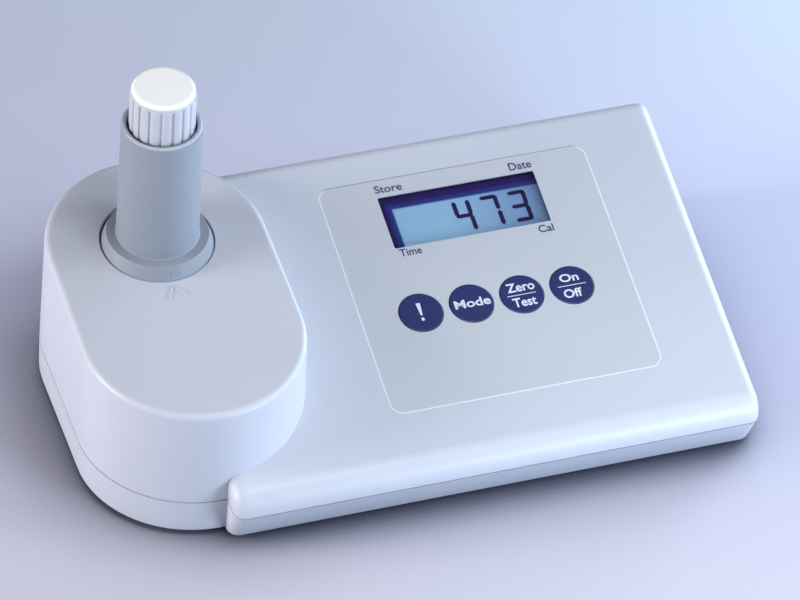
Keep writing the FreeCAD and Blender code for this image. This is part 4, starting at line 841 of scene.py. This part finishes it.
class PHOTOMETER_OT_display(bpy.types.Operator):
    """Finish the display's window, glass and tray and set its digits"""

    bl_idname = "photometer.display"
    bl_label = "Display"

    def execute(self, context):
        look = chosen(context, "display")
        lens = Finish("clear_window", tint(24, 28, 48), {"Roughness": 0.06, "Alpha": 0.08})
        lens.feed("Normal", lens.bump(lens.noise(60.0, 1.0), 0.00002, 0.4))
        dress(lens, "display_window")
        dress(self.glass(look), "lcd_glass")
        light = Finish("light_plate", tint(170, 196, 232), {"Roughness": 0.5})
        dots = light.node("ShaderNodeTexVoronoi", {"Vector": light.place(), "Scale": 900.0})
        light.feed("Base Color", light.mix(light.rise(dots, 0.2, 0.5), tint(214, 228, 246),
                                           tint(160, 190, 230)))
        dress(light, "lcd_backlight")
        # The tray's dark violet is painted shade of the display's recess
        dress(moulded("tray_plastic", tint(58, 52, 108), 0.5, 0.3 * MM, 0.00002), "lcd_bezel")
        self.set_digits(look)
        return {"FINISHED"}

    def glass(self, look):
        """Display glass: a field with painted light that dims to the right, and painted shadow of
        the window's edge along its top and left, with a soft inner edge.
        """
        finish = Finish("display_glass", tuple(look.lit), {"Roughness": 0.22})
        across, up, out = finish.on_panel()
        grain = finish.noise(2400.0, 2.0)
        # Painted light: the field is lighter at the left and dims towards the right
        field = finish.mix(finish.rise(across, 22.0, FIELD_RIGHT + 4), tuple(look.lit),
                           tuple(look.dim))
        speck = finish.mix(finish.rise(grain, 0.3, 0.7) * 0.14, field, tint(222, 236, 250))
        # Painted shadow of the window's edge: a dark border along the glass's top and left only,
        # with a soft inner edge
        inside = (across - FIELD_LEFT).least(FIELD_TOP - up)
        border = finish.mix(finish.rise(inside, -2.6, -0.7), tuple(look.border),
                            tuple(look.inner))
        finish.feed("Base Color", finish.mix(finish.rise(inside, -0.45, 0.35), border, speck))
        finish.feed("Roughness", finish.spread(grain, 0.2, 0.3))
        return finish

    def set_digits(self, look):
        """Seven-segment digits, each segment a copy of one bevelled bar."""
        wide, high, stroke = look.digit_wide, look.digit_high, look.stroke
        recipe = Recipe("segments", bar_length=1.0, stroke=float(stroke), thickness=0.03 * MM)
        half_bar = recipe.size("bar_length") * (high / 2 - 0.18 * MM)
        flat = recipe.size("stroke")
        thick = recipe.size("thickness")
        body = recipe.block(half_bar - flat, flat, thick)
        point = recipe.block(half_bar, 0.00001, thick)
        bar = recipe.node("GeometryNodeConvexHull", [recipe.joined(body, point)])
        mesh = recipe.make(recipe.at_places(bar), places(self.bars(look)), None)
        recipe_finish = moulded("display_ink", tuple(look.segment), 0.4, 0.1 * MM, 0.000003)
        piece("display_digits", mesh, "housing", recipe_finish,
              panel_place(0, 0, GLASS_OUT + INK_OUT))

    def bars(self, look):
        wide, high, stroke = look.digit_wide, look.digit_high, look.stroke
        level = (wide - 0.15 * MM) / (high / 2 - 0.18 * MM)
        upright = (0, 0, radians(90))
        inner = stroke / 2
        rows = []
        for left, digit in zip(DIGIT_LEFT, f"{look.reading:03d}"):
            x, y = left * MM, DIGIT_LOW * MM
            spots = {
                "a": (x + wide / 2, y + high - inner, (0, 0, 0), level),
                "b": (x + wide - inner, y + high * 0.75, upright, 1.0),
                "c": (x + wide - inner, y + high * 0.25, upright, 1.0),
                "d": (x + wide / 2, y + inner, (0, 0, 0), level),
                "e": (x + inner, y + high * 0.25, upright, 1.0),
                "f": (x + inner, y + high * 0.75, upright, 1.0),
                "g": (x + wide / 2, y + high / 2, (0, 0, 0), level),
            }
            for segment in SEGMENTS[int(digit)]:
                at_x, at_y, turn, length = spots[segment]
                rows.append(((at_x, at_y, 0), turn, (length, 1, 1)))
        return rows


# Adapter and vial

FLANGE_SEAT = 49.2
FLANGE_HIGH = 4.4
FLANGE_OUTER = 16.3
FLANGE_INNER = 14.55
TUBE_RIM = 95.1
# Turn of the adapter's marks from the front, towards the right
MARK_TURN = radians(3.5)
TRIANGLE = [(-1.95, 0.0), (1.95, 0.0), (0.0, 2.85)]


class PHOTOMETER_OT_adapter(bpy.types.Operator):
    """Finish the vial adapter and set the raised mark on its flange"""

    bl_idname = "photometer.adapter"
    bl_label = "Vial adapter"

    def execute(self, context):
        look = chosen(context, "adapter")
        grey = moulded("adapter_plastic", tuple(look.colour), 0.55, 0.3 * MM, 0.00003,
                       drift=0.02)
        x, y, z = grey.split(grey.place())
        # Painted highlight: the rim's flat top is paler than the rest of the adapter
        rim = grey.rise(z / MM, TUBE_RIM - 0.5, TUBE_RIM - 0.1)
        pale = tuple(min(1.0, part * 1.6) for part in look.colour)
        grey.feed("Base Color", grey.mix(rim, grey.tone, pale))
        dress(grey, "vial_adapter")
        mark = moulded("mark_plastic", tuple(look.mark), 0.5, 0.3 * MM, 0.00002)
        self.flange_mark(mark)
        return {"FINISHED"}

    def flange_mark(self, mark):
        """A raised triangle on the flange's cone, in front."""
        lean = atan2(FLANGE_HIGH, FLANGE_OUTER - FLANGE_INNER)
        mesh = slab(TRIANGLE, 0.25)
        mesh.transform(SCALED_MM)
        middle = (FLANGE_OUTER + FLANGE_INNER) / 2 + 0.17
        place = (Matrix.Translation(TUBE + Vector((0, 0, FLANGE_SEAT * MM)))
                 @ Matrix.Rotation(MARK_TURN, 4, "Z")
                 @ Matrix.Translation(Vector((0, -middle, 1.45)) * MM)
                 @ Matrix.Rotation(lean, 4, "X"))
        piece("flange_mark", mesh, "adapter", mark, place)


# The cap's ribs, in millimetres: their axis from the tube's, half width, depth, and height
CAP_TOP = 108.35
RIB_AXIS = 9.0
RIB_HALF = 1.15
RIB_DEEP = 0.34
RIB_MIDDLE = 100.1
RIB_REACH = 5.6


class PHOTOMETER_OT_vial(bpy.types.Operator):
    """Finish the glass vial, its fluted cap and the sealing disc"""

    bl_idname = "photometer.vial"
    bl_label = "Vial and cap"

    def execute(self, context):
        look = chosen(context, "vial")
        glass = Finish("vial_glass", tuple(look.glass), {
            "Roughness": 0.02, "IOR": 1.47, "Transmission Weight": 1.0,
        })
        glass.feed("Normal", glass.bump(glass.noise(40.0, 1.0), 0.00003, 0.3))
        dress(glass, "vial")
        cap = moulded("cap_plastic", tuple(look.cap_side), 0.35, 0.4 * MM, 0.000012, drift=0.01)
        x, y, z = cap.split(cap.place())
        # Painted light and shade: the cap's top takes the lighter colour, its ribbed side the
        # darker one
        lit_top = cap.rise(z / MM, CAP_TOP - 1.2, CAP_TOP - 0.2)
        cap.feed("Base Color", cap.mix(lit_top, cap.tone, tuple(look.cap)))
        dress(cap, "vial_cap")
        self.set_ribs(look, cap)
        disc = moulded("liner_foam", tint(226, 222, 212), 0.7, 0.5 * MM, 0.00004)
        dress(disc, "cap_liner")
        return {"FINISHED"}

    def set_ribs(self, look, cap):
        """Broad soft ribs round the cap, each over every second of its flutes."""
        rows = []
        for rib in range(look.ribs):
            turn = radians(360 / look.ribs) * rib
            spot = TUBE / MM + Vector((RIB_AXIS * cos(turn), RIB_AXIS * sin(turn), RIB_MIDDLE))
            rows.append((spot * MM, (0, 0, turn), (RIB_DEEP / RIB_HALF, 1, 1)))
        recipe = Recipe("ribs", half_width=RIB_HALF * MM, reach=RIB_REACH * MM)
        ball = recipe.node("GeometryNodeMeshUVSphere", {
            "Segments": 24, "Rings": 12, "Radius": recipe.size("half_width"),
        })
        high = recipe.moved(ball, 0.0, 0.0, recipe.size("reach"))
        low = recipe.moved(ball, 0.0, 0.0, recipe.size("reach") * -1)
        rib = recipe.node("GeometryNodeConvexHull", [recipe.joined(high, low)])
        mesh = recipe.make(recipe.at_places(rib), places(rows), None)
        smooth_by_angle(mesh)
        piece("cap_ribs", mesh, "cap_body", cap)


# Inside

class PHOTOMETER_OT_boards(bpy.types.Operator):
    """Finish the circuit boards and set the microcontroller's legs and small parts"""

    bl_idname = "photometer.boards"
    bl_label = "Circuit boards"

    def execute(self, context):
        look = chosen(context, "inside")
        dress(self.board(look), "circuit_board", "lamp_board", "sensor_board")
        epoxy = moulded("epoxy", tint(44, 45, 50), 0.55, 0.2 * MM, 0.00002)
        dress(epoxy, "microcontroller", "buzzer")
        cream = moulded("socket_plastic", tint(226, 220, 202), 0.5, 0.3 * MM, 0.00002)
        dress(cream, "keypad_connector")
        dress(self.ribbon(), "sensor_leads")
        dress(self.circuit_film(), "keypad_circuit")
        dress(metal("dome_steel", tint(206, 206, 210), 0.22), "snap_domes")
        self.set_legs(look)
        return {"FINISHED"}

    def board(self, look):
        """Solder mask over tracks, with small gold pads."""
        mask = tuple(look.mask)
        finish = Finish("solder_mask", mask, {"Roughness": 0.3})
        across, up, out = finish.on_panel()
        zone = finish.noise(70.0, 0.0)
        rows = [finish.rise(abs((place / 1.4).math("FRACT", place / 1.4) - 0.5), 0.2, 0.26)
                for place in (across, up)]
        turn = finish.rise(zone, 0.47, 0.5)
        track = rows[0] * turn + rows[1] * (1 - turn)
        cells = finish.node("ShaderNodeTexVoronoi", {"Vector": finish.place(), "Scale": 260.0})
        pad = 1 - finish.rise(cells, 0.13, 0.17)
        green = finish.mix(track, tuple(part * 0.72 for part in mask),
                           tuple(part * 1.35 for part in mask))
        finish.feed("Base Color", finish.mix(pad, green, tint(214, 186, 112)))
        finish.feed("Metallic", pad)
        finish.feed("Normal", finish.bump(track + pad, 0.00004))
        return finish

    def ribbon(self):
        """Cream plug and ribbon, ruled along its wires."""
        finish = Finish("ribbon_leads", tint(214, 210, 198), {"Roughness": 0.5})
        x, y, z = finish.split(finish.place())
        wire = y / (1.27 * MM)
        rule = finish.rise(abs(wire.math("FRACT", wire) - 0.5), 0.4, 0.47)
        finish.feed("Base Color", finish.mix(rule, tint(214, 210, 198), tint(120, 118, 112)))
        finish.feed("Normal", finish.bump(1 - rule, 0.0001))
        return finish

    def circuit_film(self):
        """Polyester film with printed silver tracks."""
        finish = Finish("circuit_film", tint(206, 200, 178), {"Roughness": 0.4})
        across, up, out = finish.on_panel()
        row = up / 1.1
        track = finish.rise(abs(row.math("FRACT", row) - 0.5), 0.22, 0.3)
        finish.feed("Base Color", finish.mix(track, tint(206, 200, 178), tint(170, 172, 178)))
        finish.feed("Metallic", track * 0.8)
        return finish

    def set_legs(self, look):
        """Gull-wing legs along the four sides of the microcontroller."""
        low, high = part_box("microcontroller")
        middle = panel_place(0, 0).inverted() @ ((low + high) / 2)
        pitch, count = look.leg_pitch, look.legs
        half = 7.0 * MM
        rows = []
        for side in range(4):
            turn = radians(90 * side)
            for leg in range(count):
                run = (leg - (count - 1) / 2) * pitch
                spot = Matrix.Rotation(turn, 3, "Z") @ Vector((half, run, 0))
                rows.append(((middle.x + spot.x, middle.y + spot.y, 0), (0, 0, turn), (1, 1, 1)))
        recipe = Recipe("legs", reach=1.3 * MM, width=0.35 * MM, thickness=0.15 * MM,
                        rise=0.8 * MM)
        reach, width = recipe.size("reach"), recipe.size("width")
        thick, rise = recipe.size("thickness"), recipe.size("rise")
        shoulder = recipe.moved(recipe.block(reach * 0.5, width, thick), reach * 0.2, 0.0, rise)
        drop = recipe.moved(recipe.block(thick, width, rise + thick), reach * 0.45, 0.0,
                            rise * 0.5)
        foot = recipe.moved(recipe.block(reach * 0.5, width, thick), reach * 0.7, 0.0, 0.0)
        leg = recipe.joined(shoulder, drop, foot)
        mesh = recipe.make(recipe.at_places(leg), places(rows), None)
        tin = metal("leg_tin", tint(200, 202, 208), 0.3)
        piece("microcontroller_legs", mesh, "housing", tin,
              panel_place(0, 0, -8.9 + 0.08))


class PHOTOMETER_OT_optics(bpy.types.Operator):
    """Finish the measuring chamber and its lamp, filter and sensor"""

    bl_idname = "photometer.optics"
    bl_label = "Measuring chamber"

    def execute(self, context):
        black = moulded("chamber_plastic", tint(40, 40, 43), 0.6, 0.4 * MM, 0.00004)
        dress(black, "sample_chamber", "lamp_holder", "photodiode_holder")
        foam = rubber("light_foam", tint(46, 46, 50), 0.9)
        dress(foam, "chamber_gasket")
        pane = Finish("filter_coating", tint(150, 110, 190), {"Roughness": 0.08, "IOR": 1.5})
        sheen = pane.noise(50.0, 1.0)
        pane.feed("Base Color", pane.mix(sheen, tint(126, 84, 176), tint(186, 150, 200)))
        pane.feed("Coat Weight", pane.spread(sheen, 0.7, 1.0))
        dress(pane, "interference_filter")
        epoxy = Finish("lamp_epoxy", tint(226, 232, 240), {
            "Roughness": 0.08, "IOR": 1.5, "Transmission Weight": 0.7,
        })
        epoxy.feed("Normal", epoxy.bump(epoxy.noise(300.0, 2.0), 0.00002))
        dress(epoxy, "light_diode")
        dress(metal("diode_can", tint(206, 198, 176), 0.28), "photodiode")
        return {"FINISHED"}


class PHOTOMETER_OT_batteries(bpy.types.Operator):
    """Finish the battery cells and leads and wind the contact springs"""

    bl_idname = "photometer.batteries"
    bl_label = "Batteries"

    def execute(self, context):
        look = chosen(context, "inside")
        dress(self.jacket(look), "battery_cells")
        dress(rubber("lead_sleeve", tint(158, 34, 32), 0.5), "battery_leads")
        self.wind_springs(look)
        return {"FINISHED"}

    def jacket(self, look):
        """Printed jacket with a pale band at each stud, and bare metal ends."""
        colour = tuple(look.jacket)
        finish = Finish("cell_jacket", colour, {"Roughness": 0.35})
        x, y, z = finish.split(finish.place())
        low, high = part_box("battery_cells")
        pitch = 11.0 * MM
        row = ((y - low.y) / pitch).math("FLOOR", (y - low.y) / pitch)
        odd = row.math("MODULO", row, 2.0)
        along = (x - (low.x + high.x) / 2) * (odd * 2 - 1) / MM
        band = finish.rise(along, 12.0, 12.2)
        bare = finish.rise(abs(along), 20.9, 21.0)
        printed = finish.mix(band, colour, tint(190, 150, 96))
        finish.feed("Base Color", finish.mix(bare, printed, tint(196, 196, 200)))
        finish.feed("Metallic", bare.most(band * 0.8))
        finish.feed("Roughness", finish.spread(finish.noise(300.0), 0.25, 0.45))
        return finish

    def wind_springs(self, look):
        """Flat contact plates, a wound spring at each cell's base and a stub at each stud."""
        low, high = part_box("battery_contacts")
        cells_low, cells_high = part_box("battery_cells")
        middle_y = (cells_low.y + cells_high.y) / 2
        pitch = 11.0 * MM
        axis_z = (cells_low.z + cells_high.z) / 2
        thick = 0.4 * MM
        reach = 4.2 * MM
        plates, springs, stubs = [], [], []
        for side, rows in ((-1, (0, 1)), (-1, (2, 3)), (1, (0,)), (1, (1, 2)), (1, (3,))):
            wall = low.x if side < 0 else high.x
            inner = wall - side * thick
            first = middle_y + (rows[0] - 1.5) * pitch - 4.4 * MM
            last = middle_y + (rows[-1] - 1.5) * pitch + 4.4 * MM
            plates.append(self.plate(min(wall, inner), max(wall, inner), first, last, low.z,
                                     high.z))
            for row in rows:
                spot = (inner, middle_y + (row - 1.5) * pitch, axis_z)
                turn = (0, radians(-90 * side), 0)
                base = (row % 2 == 1) == (side < 0)
                (springs if base else stubs).append((spot, turn, (1, 1, 1)))
        recipe = Recipe("springs", turns=float(look.spring_turns), foot=3.75 * MM, tip=2.1 * MM,
                        reach=float(reach - look.spring_wire), wire=float(look.spring_wire))
        coil = recipe.node("GeometryNodeCurveSpiral", {
            "Resolution": 28, "Rotations": recipe.size("turns"),
            "Start Radius": recipe.size("foot"), "End Radius": recipe.size("tip"),
            "Height": recipe.size("reach"),
        })
        ring = recipe.node("GeometryNodeCurvePrimitiveCircle", {
            "Resolution": 8, "Radius": recipe.size("wire"),
        })
        wound = recipe.node("GeometryNodeCurveToMesh", {
            "Curve": coil, "Profile Curve": ring, "Fill Caps": True,
        })
        coils = recipe.make(recipe.at_places(wound), places(springs), None)
        studs = Recipe("stubs", foot=1.9 * MM, tip=1.1 * MM, reach=float(reach))
        cone = studs.node("GeometryNodeMeshCone", {
            "Vertices": 32, "Radius Top": studs.size("tip"), "Radius Bottom": studs.size("foot"),
            "Depth": studs.size("reach"),
        })
        stub_mesh = studs.make(studs.at_places(cone), places(stubs), None)
        plated = metal("contact_plate", tint(214, 210, 196), 0.25, (1, 6, 1))
        contacts = merged([*plates, coils, stub_mesh])
        made = piece("contact_springs", contacts, "housing", plated)
        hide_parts("battery_contacts")
        smooth_by_angle(made.data)

    def plate(self, left, right, front, back, low, high):
        mesh = slab([(left, front), (right, front), (right, back), (left, back)], high - low)
        mesh.transform(Matrix.Translation((0, 0, low)))
        return mesh


def smooth_by_angle(mesh, degrees=35):
    """Round shading, with edges kept where faces meet at more than an angle."""
    form = bmesh.new()
    form.from_mesh(mesh)
    for face in form.faces:
        face.smooth = True
    for edge in form.edges:
        if len(edge.link_faces) == 2 and edge.calc_face_angle(0) > radians(degrees):
            edge.smooth = False
    form.to_mesh(mesh)
    form.free()


# Sidebar, registration and the run

OPERATORS = [
    PHOTOMETER_OT_stage, PHOTOMETER_OT_housing, PHOTOMETER_OT_panel, PHOTOMETER_OT_keys,
    PHOTOMETER_OT_display, PHOTOMETER_OT_adapter, PHOTOMETER_OT_vial, PHOTOMETER_OT_boards,
    PHOTOMETER_OT_optics, PHOTOMETER_OT_batteries,
]


class PHOTOMETER_PT_sidebar(bpy.types.Panel):
    """Buttons and settings of the photometer"""

    bl_idname = "PHOTOMETER_PT_sidebar"
    bl_label = "Photometer"
    bl_space_type = "VIEW_3D"
    bl_region_type = "UI"
    bl_category = "Photometer"

    def draw(self, context):
        layout = self.layout
        for operator in OPERATORS:
            layout.operator(operator.bl_idname)
        for group in PhotometerSettings.__annotations__:
            settings = getattr(context.scene.photometer, group)
            box = layout.box()
            box.label(text=group.capitalize())
            for name in type(settings).__annotations__:
                box.prop(settings, name)


CLASSES = [
    ShellSettings, PanelSettings, DisplaySettings, AdapterSettings, VialSettings, InsideSettings,
    StageSettings, PhotometerSettings, *OPERATORS, PHOTOMETER_PT_sidebar,
]


def register():
    for made in CLASSES:
        bpy.utils.register_class(made)
    bpy.types.Scene.photometer = PointerProperty(type=PhotometerSettings)


def unregister():
    del bpy.types.Scene.photometer
    for made in reversed(CLASSES):
        bpy.utils.unregister_class(made)


def main():
    register()
    for operator in OPERATORS:
        group, name = operator.bl_idname.split(".")
        getattr(getattr(bpy.ops, group), name)()


if __name__ == "__main__":
    main()
